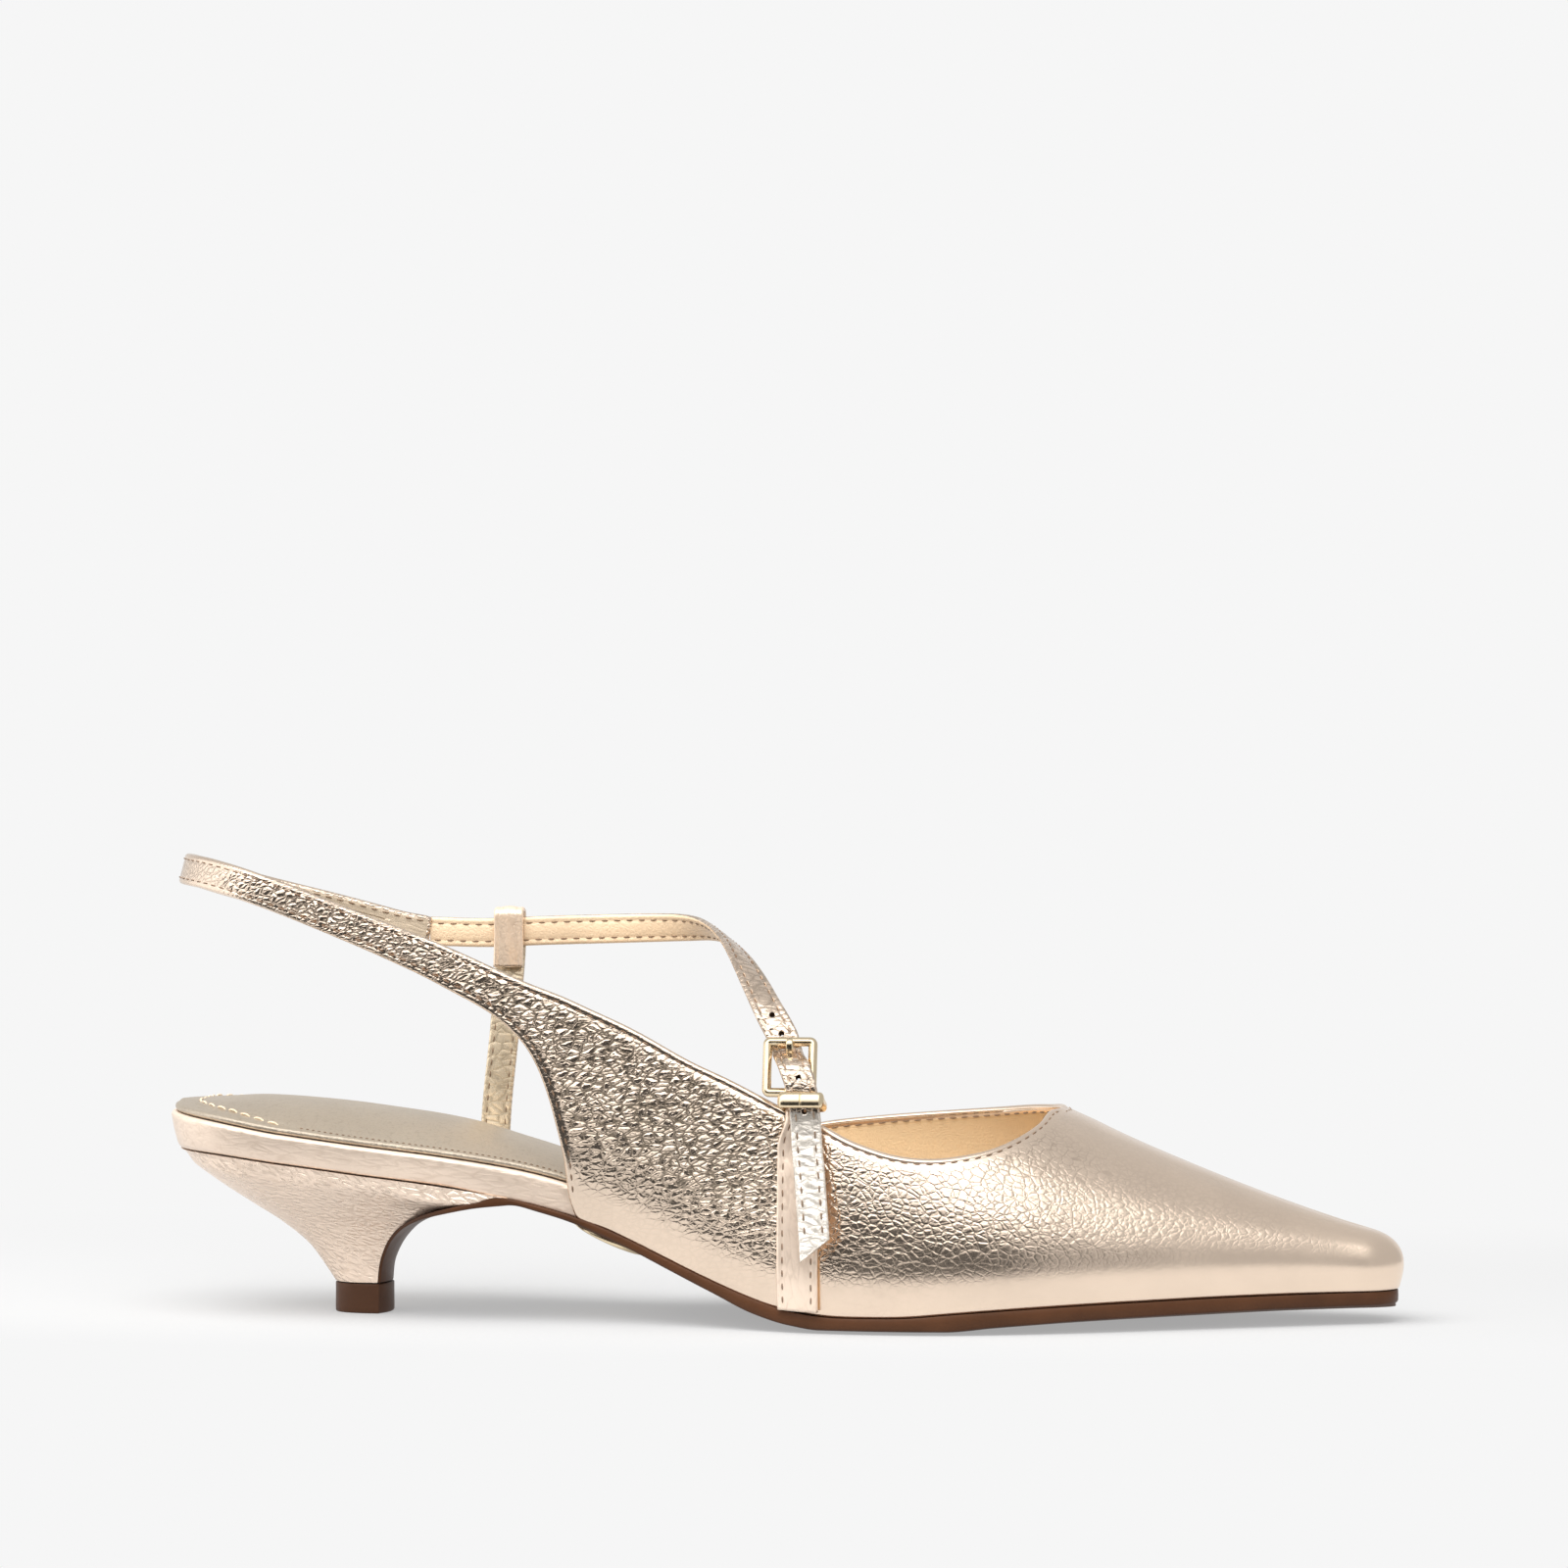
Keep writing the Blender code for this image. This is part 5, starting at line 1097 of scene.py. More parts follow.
def breast_section(path, i, row):
    t = unit(path[min(i + 1, len(path) - 1)] - path[max(i - 1, 0)])
    n = np.array([-t[1], t[0]])
    if n[0] < 0 and n[1] > 0:
        n = -n
    edge, mid = cover(i / (len(path) - 1))
    edge = edge + 0.22 * float(ease((path[i][0] - 50) / 14))
    lat, med = heel_outline(row, np.array(1.0))
    under_rim = ease((path[i][0] - 50) / 18)
    px = np.array(path[i][0])
    stand = np.array(0.35 + 0.45 * float(ease((px - 66) / 12)))
    lat = (1 - under_rim) * lat + under_rim * float(outline(px, -1, stand)[1])
    med = (1 - under_rim) * med + under_rim * float(outline(px, 1, stand)[1])
    a = path[i] + n * 0.1
    # its upper edge follows the heel's front edge up to the rim
    lift = float(ease(1 - 7 * i / (len(path) - 1)))
    crest = np.array([a[0], max(a[1], (1 - lift) * path[i][1] + lift * (float(bed(px)) - GAP) - 0.05)])
    left = [(0.0, 0.1), (0.15 * edge, 0.0), (0.4 * edge, 0.0), (0.65 * edge, 0.02), (0.9 * edge, 0.1)]
    rows_l = [(a + n * d if d else crest, lat + inset) for d, inset in left]
    rows_r = [(a + n * d if d else crest, med - inset) for d, inset in left]
    pts = [(p[0], y, p[1]) for p, y in rows_l]
    for q in SOLE_ACROSS:
        y = (lat + 0.2) * (1 - q) / 2 + (med - 0.2) * (1 + q) / 2
        d = a + n * (edge + mid * (1 - q * q))
        pts.append((d[0], y, d[1]))
    pts += [(p[0], y, p[1]) for p, y in rows_r[::-1]]
    for q in (0.6, 0.0, -0.6):
        pts.append((crest[0], lat * (1 - q) / 2 + med * (1 + q) / 2, crest[1]))
    return np.array([(x, y, max(z, HEEL[0][1] + 0.05)) for x, y, z in pts])


breast_rows = [heel_at(k) for k in np.linspace(7, 0, 60)]
breast_path = np.array([(r[2], r[3]) for r in breast_rows])
sole_x = stations(8, 260, 20, 80.5)
sections = [breast_section(breast_path, i, r) for i, r in enumerate(breast_rows)][::-1] + [sole_section(x) for x in sole_x]
v, f = grid(refine(sections[:60] + sections[60:63], 0.8).tolist()[:-1] + [s.tolist() for s in sections[62:]])
make("outsole_leather", v, f, m_sole, slot="sole_leather", stands_for="outsole", angle=50)

HEEL_SHARE = np.concatenate([(1 - np.cos(np.linspace(0, math.pi / 2, 26))) * 0.7, np.linspace(0.72, 1.0, 12)])
heel_sections = []
for k, tuck in list(zip(np.linspace(0, 6.86, 60), np.zeros(60))) + [(6.90, 0.04), (6.94, 0.14), (6.97, 0.32), (6.99, 0.6), (7.0, 1.0)]:
    row = heel_at(k)
    lat, med = heel_outline(row, HEEL_SHARE)
    shrink = 1 - tuck / np.maximum(row[4], 1.0)
    lat, med = (lat + med) / 2 + (lat - med) / 2 * shrink, (lat + med) / 2 - (lat - med) / 2 * shrink
    x = row[0] + tuck * (1 - HEEL_SHARE) + HEEL_SHARE * (row[2] - row[0])
    z = row[1] + HEEL_SHARE * (row[3] - row[1])
    # towards its front tip the heel's leather lies flush under the rim
    flush = ease((x - 46) / 16) * ease((k - 4.6) / 1.3)
    flush_lat, flush_med = (outline(x, w, np.full_like(x, 0.1))[:, 1] for w in (-1, 1))
    lat, med = (1 - flush) * lat + flush * flush_lat, (1 - flush) * med + flush * flush_med
    lift = ease((k - 6.0) / 1.0)
    z = (1 - lift) * z + lift * (bed(x) - GAP)
    side_l, side_r = np.column_stack([x, lat, z]), np.column_stack([x, med, z])
    front = [side_l[-1] * (1 - q) / 2 + side_r[-1] * (1 + q) / 2 for q in (0.75, 0.5, 0.25, 0.0, -0.25, -0.5, -0.75)]
    heel_sections.append(np.vstack([side_l[::-1], side_r[1:], front]))
v, f = grid(heel_sections)
make("heel_cover", v, f, m_heel, slot="heel_leather",
     stands_for="heel_block", angle=55)

row0 = heel_at(0.0)
x0, x1, half = row0[0], row0[2], row0[4] + 0.1
pts = []
for k in range(49):
    a = math.pi * k / 48
    pts.append((x1 + 0.3 - (x1 + 0.3 - x0) * math.sin(a) ** 0.8, -half * math.cos(a)))
for k in range(1, 14):
    q = 1 - 2 * k / 14
    pts.append((x1 + 0.3 + 1.9 * (1 - q * q), half * q))
pts, mid = np.array(pts), np.array([(x0 + x1) / 2, 0.0])
tip_sections = []
for z, s in ((0.0, 0.955), (0.1, 0.98), (0.35, 1.0), (1.2, 1.004), (3.0, 1.0), (5.0, 0.998), (6.0, 1.0), (6.18, 0.995), (TOP_PIECE_H, 0.975)):
    tip_sections.append(np.column_stack([mid + (pts - mid) * s, np.full(len(pts), z)]))
v, f = grid(tip_sections)
make("heel_tip", v, f, m_tip, slot="top_piece", stands_for="heel_top_piece", angle=40)


# ------------------------------------------------------------------ straps
def ribbon(path, wide, nrm, width, thick, valley=0.13, inset=1.2, depth_rows=17, puff=0.06):
    """Sections of a stitched strap: flat faces with stitch valleys, rounded edges.

    The first half of each section is the outer face.
    """
    out = []
    path, wide, nrm = (np.asarray(a, float) for a in (path, wide, nrm))
    width = np.broadcast_to(width, len(path))
    r = thick / 2
    turn = np.linspace(0, math.pi, 7)[1:-1]
    for p, w, n, wd in zip(path, wide, nrm, width):
        a = wd / 2 - r
        u = np.sort(np.concatenate([np.linspace(-a, a, depth_rows), [-(wd / 2 - inset), wd / 2 - inset]]))
        dip = valley * (np.exp(-((np.abs(u) - (wd / 2 - inset)) / 0.32) ** 2)) - puff * np.exp(-(u / (0.45 * a)) ** 2)
        top = [p + w * x + n * (r - d) for x, d in zip(u, dip)]
        right = [p + w * (a + r * math.sin(t)) + n * r * math.cos(t) for t in turn]
        bot = [p + w * x - n * (r - 0.6 * d) for x, d in zip(u[::-1], dip[::-1])]
        left = [p - w * (a + r * math.sin(t)) - n * r * math.cos(t) for t in turn]
        out.append(np.array(top + right + bot + left))
    return np.array(out)


def ribbon_mesh(name, sections, mats, n_face=19, n_turn=5, grain=0.6, crease=0.4, **kw):
    v, f = grid(sections)
    m = sections.shape[1]
    index = []
    for i in range(len(sections) - 1):
        for k in range(m):
            index.append(1 if n_face + 3 <= k < 2 * n_face + n_turn + 1 else 0)
    index += [0, 0]
    return make(name, v, f, mats, index, {"grain": np.full(len(v), grain), "crease": np.full(len(v), crease)}, weld=0.0005, **kw)


def edge_runs(path, wide, nrm, width, thick, inset=1.2, faces=(1, -1)):
    runs = []
    width = np.broadcast_to(width, len(path))[:, None]
    for face in faces:
        for side in (-1, 1):
            p = np.asarray(path) + np.asarray(wide) * side * (width / 2 - inset) + np.asarray(nrm) * face * (thick / 2 - 0.1)
            runs.append((p, np.asarray(nrm) * face))
    return runs


_, HINGE_N = outer_point(np.array(HINGE_X), np.array(HINGE_Z), np.array(0.0))
HINGE_FOOT = outer_point(np.array(HINGE_X), np.array(HINGE_Z), np.array(0.0))[0]
B_OUT = HINGE_N
B_UP = unit(np.cross(B_OUT, np.array([1.0, 0, 0])))
B_UP = B_UP if B_UP[2] > 0 else -B_UP
B_FWD = unit(np.cross(B_UP, B_OUT))
B_FWD = B_FWD if B_FWD[0] > 0 else -B_FWD
HINGE = HINGE_FOOT + HINGE_OUT * B_OUT


def buckle_point(up, x, out):
    return HINGE + B_UP * up + B_FWD * ((x - HINGE_X) / B_FWD[0]) + B_OUT * out


rows = []
for r in INSTEP:
    rows.append((*r[:3], *r[3:], 0.0))
for up, x, out in STRAP_BUCKLE:
    rows.append((*buckle_point(up, x, out), *B_OUT, 1.0))
for z, x, out in TAIL + [TAIL_END]:
    p, n = outer_point(np.array(x), np.array(z), np.array(out))
    rows.append((*p, *n, 1.0))
path = spline(rows, 0.32)
s_pts = path[:, :3]
tangent = unit(np.gradient(s_pts, axis=0))
n0 = unit(path[:, 3:6] - (path[:, 3:6] * tangent).sum(1, keepdims=True) * tangent)
w0 = unit(np.cross(tangent, n0))
level = np.clip(path[:, 6:7], 0, 1)
w1 = unit((1 - level) * w0 - level * B_FWD)
w1 = unit(w1 - (w1 * tangent).sum(1, keepdims=True) * tangent)
n1 = unit(np.cross(w1, tangent))
n1 = np.where((n1 * n0).sum(1, keepdims=True) > 0, n1, -n1)
strap_sections = ribbon(s_pts, w1, n1, STRAP_W, STRAP_T, valley=0.2, inset=1.35, depth_rows=21, puff=0.16)
# below the keeper the padded middle of the tail is gathered into puffs
run_s = np.concatenate([[0], np.cumsum(np.linalg.norm(np.diff(s_pts, axis=0), axis=1))])
for i in np.nonzero(run_s > 143.5)[0]:
    face = strap_sections[i, :23]
    u = (face - s_pts[i]) @ w1[i]
    wave = np.array([noise.noise(Vector((a * 0.22, run_s[i] * 0.30, 4.0))) for a in u])
    size = np.array([noise.noise(Vector((a * 0.3, run_s[i] * 0.22, 9.0))) for a in u])
    puff = np.abs(np.sin(math.pi * (run_s[i] + 0.22 * u + 2.6 * wave) / 2.5)) - 0.55
    fade = ease((run_s[i] - 143.5) / 4) * ease((run_s[-1] - run_s[i] - 1.6) / 2.5)
    strap_sections[i, :23] = face + n1[i] * (puff * (0.20 + 0.16 * size) * np.exp(-(u / 1.5) ** 4) * fade)[:, None]
# the tail is cut at a slant, with its forward edge higher
t_end = unit(s_pts[-1] - s_pts[-8])
slant = np.linspace(0, 1, 20) ** 2
for k, amount in zip(range(-20, 0), slant):
    u = ((strap_sections[k] - s_pts[k]) @ w1[k])[:, None]
    strap_sections[k] = strap_sections[k] + t_end * u * (0.68 if w1[k][0] < 0 else -0.68) * amount
strap = ribbon_mesh("instep_strap_leather", strap_sections, [m_strap, m_under, m_hole, m_tail_painted_light], n_face=23, grain=0.5, slot="strap_leather", stands_for="instep_strap")


# the tail below the keeper takes a smoother copy of the strap leather, painted brighter and less golden: painted light
for poly in strap.data.polygons:
    c = np.array(poly.center) / MM - SHIFT
    if c[2] < 45.8 and c[0] > 130 and poly.material_index == 0:
        poly.material_index = 3


def punch(ob, centres, normals, radius, depth):
    """Round holes through a strap; their walls take its third material."""
    cut_v, cut_f = [], []
    for c, n in zip(centres, normals):
        a = unit(np.cross(n, [0.3, 0.2, 0.9]))
        b = np.cross(n, a)
        base = len(cut_v)
        for d, rr in ((-depth, radius * 0.3), (depth, radius * 1.35)):
            cut_v += [c + n * d + (a * math.cos(q) + b * math.sin(q)) * rr for q in np.linspace(0, 2 * math.pi, 20, endpoint=False)]
        cut_f += [(base + k, base + (k + 1) % 20, base + 20 + (k + 1) % 20, base + 20 + k) for k in range(20)]
        cut_f += [tuple(base + k for k in range(20))[::-1], tuple(base + 20 + k for k in range(20))]
    me = bpy.data.meshes.new("punch")
    me.from_pydata(to_row(cut_v).tolist(), [], cut_f)
    for m in ob.data.materials:
        me.materials.append(m)
    me.polygons.foreach_set("material_index", [2] * len(me.polygons))
    bm = bmesh.new()
    bm.from_mesh(me)
    bmesh.ops.recalc_face_normals(bm, faces=bm.faces)
    bm.to_mesh(me)
    bm.free()
    tool, plain = bpy.data.objects.new("punch", me), bpy.data.objects.new("punched", ob.data)
    for o in (tool, plain):
        bpy.context.scene.collection.objects.link(o)
    cut = plain.modifiers.new("cut", "BOOLEAN")
    cut.operation, cut.solver, cut.object = "DIFFERENCE", "EXACT", tool
    done = bpy.data.meshes.new_from_object(plain.evaluated_get(bpy.context.evaluated_depsgraph_get()))
    for o in (tool, plain):
        bpy.data.objects.remove(o)
    done.set_sharp_from_angle(angle=math.radians(42))
    ob.data = done


# four free holes and the one the prong stands in, along the middle of the strap
HOLES = [117.65, 122.31, 128.29, 135.63, 142.52]
hole_at = np.stack([np.interp(HOLES, run_s, s_pts[:, k]) for k in range(3)], -1)
hole_n = unit(np.stack([np.interp(HOLES, run_s, n1[:, k]) for k in range(3)], -1))
punch(strap, hole_at, hole_n, 0.55, 1.6)

inner_run = edge_runs(s_pts[:-8], w1[:-8], n1[:-8], STRAP_W, STRAP_T, 1.35)
end_w = np.linspace(-1, 1, 20)[:, None]
end_c = s_pts[-6] + w1[-6] * end_w * (STRAP_W / 2 - 1.4) + n1[-6] * (STRAP_T / 2 - 0.1)
end_c = end_c + t_end * end_w * (STRAP_W / 2 - 1.4) * (0.68 if w1[-6][0] < 0 else -0.68) * 0.8
front = (run_s[:-8] > 100) & (run_s[:-8] < 146)
quiet_run = [(p_[front], n_[front]) for p_, n_ in inner_run[:2]]
split = int(np.argmax(run_s > 100))
tail_from = int(np.argmax(run_s > 146))
inner_run = [(p_[a_:b_], n_[a_:b_]) for p_, n_ in inner_run[:2] for a_, b_ in ((0, split), (tail_from, len(p_)))] + inner_run[2:]
stitches("strap_front_stitching", quiet_run, m_taupe, length=1.5, gap=1.3, radius=0.13)
stitches("strap_stitching", inner_run + [(end_c, np.tile(n1[-6], (20, 1)))], m_thread, length=1.5, gap=1.3, radius=0.15)

# side strip: up the outer wall, then folded round the lower bar of the buckle
strip_z = np.linspace(float(bed(138.0)) + 0.5, 45.4, 60)
lift0 = GAP + STRIP_T / 2
lift = lift0 + (HINGE_OUT - BAR_R - GAP - STRIP_T / 2 - lift0) * ease((strip_z - 36) / 8)
p, n = outer_point(np.full(60, 138.0), strip_z, lift)
strip_p, strip_n = list(p), list(n)
strip_w = list(8.9 + (5.6 - 8.9) * ease((strip_z - 38) / 6))
r = BAR_R + GAP + STRIP_T / 2
ref = np.array([1.0, 0, 0])
strip_p.append(HINGE - B_UP * 1.25 + B_FWD * 2.2 - B_OUT * r)
strip_n.append(B_OUT)
strip_w.append(5.6)
for qd in np.linspace(0, 150, 22):
    a = math.radians(qd)
    strip_p.append(HINGE + B_FWD * 3.0 + (-B_OUT * math.cos(a) + B_UP * math.sin(a)) * r)
    strip_n.append(B_OUT * math.cos(a) - B_UP * math.sin(a))
    strip_w.append(3.2)
strip_p, strip_n, strip_w = np.array(strip_p), np.array(strip_n), np.array(strip_w)
strip_wide = unit(ref - (strip_n @ ref)[:, None] * strip_n)
strip_sections = ribbon(strip_p, strip_wide, strip_n, strip_w, STRIP_T, valley=0.11, inset=1.35)
ribbon_mesh("side_strip_leather", strip_sections, [m_strip, m_lining], grain=0.05, crease=0.03, slot="strap_leather", stands_for="side_strip")
stitches("strip_stitching", edge_runs(strip_p[1:57], strip_wide[1:57], strip_n[1:57], strip_w[1:57], STRIP_T, 1.35, (1,)),
         m_thread, length=1.5, gap=1.25, radius=0.15)

# loop strap on the inner side
x_at = smooth([(20, 63.6), (40, 64.4), (62, 66.4), (80, 67.3), (90, 67.3)])
strap_yz = smooth([(r_[0], r_[1], r_[2]) for r_ in INSTEP[:5]])
y0, z0 = strap_yz(np.array(67.3))
lr = STRAP_T / 2 + GAP + 0.15 + LOOP_T / 2
ltop = z0 + STRAP_W / 2 + GAP + 1.5
foot = float(outline(np.array(63.6), 1, flare(np.array(63.6)))[1]) + GAP + LOOP_T / 2
lb = float(bed(np.array(63.6)))
loop_path = [(foot + 0.2, lb + 0.3), (foot + 0.2, lb + 5.2), (foot + 0.4, lb + 11), (y0 - 0.6, 56), (y0 + 0.2, 68), (y0 + lr - 0.1, 76.5),
             (y0 + lr, z0), (y0 + lr, ltop - 1.0), (y0 + 0.72 * lr, ltop - 0.25), (y0, ltop),
             (y0 - 0.72 * lr, ltop - 0.25), (y0 - lr, ltop - 1.0), (y0 - lr, z0), (y0 - lr, 77.2), (y0 - lr + 0.15, 73.0)]
loop_path = spline([(a, b, 0) for a, b in loop_path], 0.55)[:, :2]
lt = unit(np.gradient(loop_path, axis=0))
loop_n = np.column_stack([np.zeros(len(lt)), lt[:, 1], -lt[:, 0]])
loop_p = np.column_stack([x_at(loop_path[:, 1]), loop_path])
loop_w = np.tile([1.0, 0.0, 0.0], (len(loop_p), 1))
loop_sections = ribbon(loop_p, loop_w, loop_n, 6.6, LOOP_T, puff=0.22)
loop_ob = ribbon_mesh("loop_strap_leather", loop_sections, [m_strap, m_loop, m_post], grain=0.55, crease=0.04, slot="strap_leather", stands_for="loop_strap")
apex = int(np.argmax(loop_path[:, 1]))
for poly in loop_ob.data.polygons:
    on_loop = poly.center[2] > 0.0735 and (poly.center[1] * 1000 - SHIFT[1] < y0 or poly.center[2] * 1000 > ltop - 2.5)
    poly.material_index = 1 if on_loop else 2 * poly.material_index

low = np.nonzero(loop_path[:, 1] < 73.0)[0]
low = low[low < len(loop_path) // 2]
loop_runs = edge_runs(loop_p[low], loop_w[low], loop_n[low], 6.6, LOOP_T)
bar_x = np.linspace(-1, 1, 12)[:, None] * np.array([2.0, 0, 0])
k = int(np.argmin(np.abs(loop_path[:60, 1] - 74.6) if len(loop_path) < 60 else np.abs(loop_path[: len(loop_path) * 2 // 3, 1] - 74.6)))
loop_runs.append((loop_p[-3] + bar_x + loop_n[-3] * (LOOP_T / 2 - 0.05), np.tile(loop_n[-3], (12, 1))))
loop_runs.append((loop_p[k] + bar_x + loop_n[k] * (LOOP_T / 2 - 0.05), np.tile(loop_n[k], (12, 1))))
stitches("loop_stitching", loop_runs, m_thread, length=1.5, gap=1.1, radius=0.14)


# ------------------------------------------------------------------ metal
def tube(path, up, radius, closed, sides=20, square=2.6, flat=1.0):
    """Wire with a slightly squared section swept along a path that lies in a plane with normal `up`."""
    path = np.asarray(path, float)
    if closed:
        t = unit(np.roll(path, -1, 0) - np.roll(path, 1, 0))
    else:
        t = unit(np.gradient(path, axis=0))
    up = np.broadcast_to(up, path.shape)
    w = unit(np.cross(t, up))
    n = unit(np.cross(w, t))
    out = []
    radius = np.broadcast_to(radius, len(path))
    for p, a, b, rr in zip(path, w, n, radius):
        ring = []
        for q in np.linspace(0, 2 * math.pi, sides, endpoint=False):
            c, s = math.cos(q), math.sin(q)
            c, s = math.copysign(abs(c) ** (2 / square), c), math.copysign(abs(s) ** (2 / square), s)
            ring.append(p + a * rr * flat * c + b * rr * s)
        out.append(ring)
    return np.array(out)


def bevelled(path, up, profile):
    """Bar with a bevelled section swept round a closed path; profile is (across, out)."""
    path = np.asarray(path, float)
    t = unit(np.roll(path, -1, 0) - np.roll(path, 1, 0))
    w = unit(np.cross(t, np.broadcast_to(up, path.shape)))
    n = unit(np.cross(w, t))
    return np.array([[p + a * x + b * y for x, y in profile] for p, a, b in zip(path, w, n)])


def rounded_oblong(w, h, r, seg):
    out = []
    for cx, cy, a0 in ((w / 2 - r, h / 2 - r, 0), (-w / 2 + r, h / 2 - r, 90),
                       (-w / 2 + r, -h / 2 + r, 180), (w / 2 - r, -h / 2 + r, 270)):
        for k in range(seg + 1):
            a = math.radians(a0 + 90 * k / seg)
            out.append((cx + r * math.cos(a), cy + r * math.sin(a)))
    return out


def ring_mesh(name, sections, mat, **kw):
    s = np.array(sections)
    n, m = s.shape[:2]
    faces = [(i * m + k, i * m + (k + 1) % m, ((i + 1) % n) * m + (k + 1) % m, ((i + 1) % n) * m + k)
             for i in range(n) for k in range(m)]
    return make(name, s.reshape(-1, 3), faces, mat, **kw)


mid = HINGE + B_UP * (FRAME_H + 0.5) / 2
loop = np.array([mid + B_FWD * a + B_UP * b for a, b in rounded_oblong(FRAME_W - 0.6, FRAME_H + 0.5, 0.6, 8)])
loop = np.vstack([np.linspace(loop[i], loop[(i + 1) % len(loop)], 4, endpoint=False)
                  if np.linalg.norm(loop[(i + 1) % len(loop)] - loop[i]) > 2 else loop[i:i + 1] for i in range(len(loop))])
BEVEL = [(0.92, -0.5), (0.84, -0.68), (0.6, -0.78), (-0.6, -0.78), (-0.84, -0.68), (-0.92, -0.5), (-0.93, 0.0), (-0.86, 0.2), (-0.74, 0.36),
         (-0.36, 0.72), (-0.24, 0.78), (0.0, 0.8), (0.24, 0.78), (0.36, 0.72), (0.74, 0.36), (0.86, 0.2), (0.93, 0.0)]
frame_bars = bevelled(loop, B_OUT, BEVEL)
if ((frame_bars[0, 11] - loop[0]) @ B_OUT) < 0:
    frame_bars = bevelled(loop, -B_OUT, BEVEL)
ring_mesh("buckle_frame_wire", frame_bars, m_metal, slot="buckle_metal", stands_for="buckle_frame", weld=0.0005)

PRONG_R, PRONG_FLAT = 0.42, 1.8
pr = BAR_R + GAP + 0.08 + PRONG_R
prong = []
for q in np.arange(50, -251, -10):
    a = math.radians(q)
    prong.append(HINGE + (B_OUT * math.cos(a) + B_UP * math.sin(a)) * pr)
for u, o in [(2.7, -0.3), (4.2, 0.0), (7.2, 0.0), (8.2, 0.6), (9.0, 1.3), (9.7, 1.62), (10.4, 1.58), (11.0, 1.32)]:
    prong.append(HINGE + B_UP * u + B_OUT * o)
prong = np.array(prong)
head, tail_p = prong[:31], spline(prong[30:], 0.4)
prong = np.vstack([head[:-1], tail_p])
radius = np.full(len(prong), PRONG_R)
radius[-3:] *= (0.95, 0.85, 0.6)
v, f = grid(tube(prong, np.cross(B_FWD, unit(np.gradient(prong, axis=0))), radius, False, 16, 2.6, PRONG_FLAT))
make("buckle_prong_wire", v, f, m_metal, slot="buckle_metal", stands_for="buckle_prong", weld=0.0005)

base, kn = outer_point(np.array(KEEPER_X), np.array(KEEPER_Z), np.array(0.0))
kup = unit(np.cross(kn, ref))
kup = kup if kup[2] > 0 else -kup
kfwd = unit(np.cross(kup, kn))
kfwd = kfwd if kfwd[0] > 0 else -kfwd
back, front, half_w = 0.35, 8.5, 4.8
ring_sections = []
oblong = rounded_oblong(2 * half_w, front - back, 1.5, 10)
dense = []
for i in range(len(oblong)):
    a, b = np.array(oblong[i]), np.array(oblong[(i + 1) % len(oblong)])
    cuts = np.linspace(0, 1, 14, endpoint=False) if np.linalg.norm(b - a) > 2 else np.zeros(1)
    if a[1] > 1 and len(cuts) > 1:
        cuts = np.unique(np.concatenate([cuts, 0.5 + np.array([-0.07, -0.04, -0.025, -0.012, 0, 0.012, 0.025, 0.04, 0.07])]))
    dense += [a + (b - a) * k for k in cuts]
for a, b in dense:
    o = np.array([a, b + (back + front) / 2 - (0.26 * math.exp(-(a / 0.13) ** 2) if b > 0 else 0.0)])
    i = np.array([a * (half_w - 0.8) / half_w, max(min(b + (back + front) / 2, front - 1.1), back + 0.7)])
    ring = []
    for fq, s in ((0.0, -0.3), (0.05, -0.5), (0.16, -0.7), (0.34, -0.86), (0.56, -0.96), (0.8, -1.0), (1.0, -0.85), (1.0, 0.0), (1.0, 0.85),
                  (0.8, 1.0), (0.56, 0.96), (0.34, 0.86), (0.16, 0.7), (0.05, 0.5), (0.0, 0.3), (-0.02, 0.0)):
        q = o * (1 - fq) + i * fq
        height = 1.1 + 0.55 * ease((q[1] - 4.9) / 1.6)
        ring.append(base + kfwd * q[0] + kn * q[1] + kup * height * s)
    ring_sections.append(ring)
ring_mesh("buckle_keeper_band", ring_sections, m_metal, slot="buckle_metal", stands_for="buckle_keeper", weld=0.0005)

# disc under the waist of the sole, with a raised rim
dz0 = sole_of(np.array(DISC_X))
dz1 = sole_of(np.array(DISC_X + 1))
zc0, zc1 = dz0[0] - dz0[1], dz1[0] - dz1[1]
slope = math.atan2(zc1 - zc0, 1.0)
down = np.array([math.sin(slope), 0, -math.cos(slope)])
along = np.array([math.cos(slope), 0, math.sin(slope)])
cross = np.array([0.0, 1.0, 0.0])
centre = np.array([DISC_X, float(plan(np.array(DISC_X))[0]), zc0]) + down * (GAP + 0.25)
profile = [(0.0, 0.0), (DISC_R - 0.3, 0.0), (DISC_R - 0.05, 0.15), (DISC_R, 0.45), (DISC_R, 0.85), (DISC_R - 0.12, 1.08), (DISC_R - 0.45, DISC_T),
           (DISC_R - 0.85, 1.16), (DISC_R - 1.1, 0.95), (DISC_R - 1.5, 0.88), (DISC_R - 4.0, 0.9), (0.0, 0.92)]
secs = []
for q in np.linspace(0, 2 * math.pi, 72, endpoint=False):
    e = along * math.cos(q) + cross * math.sin(q)
    secs.append([centre + e * a + down * b for a, b in profile])
s = np.array(secs)
n_, m_ = s.shape[:2]
faces = [(i * m_ + k, i * m_ + k + 1, ((i + 1) % n_) * m_ + k + 1, ((i + 1) % n_) * m_ + k) for i in range(n_) for k in range(m_ - 1)]
make("sole_disc_plate", s.reshape(-1, 3), faces, m_disc, slot="disc_metal", stands_for="sole_disc", weld=0.001)

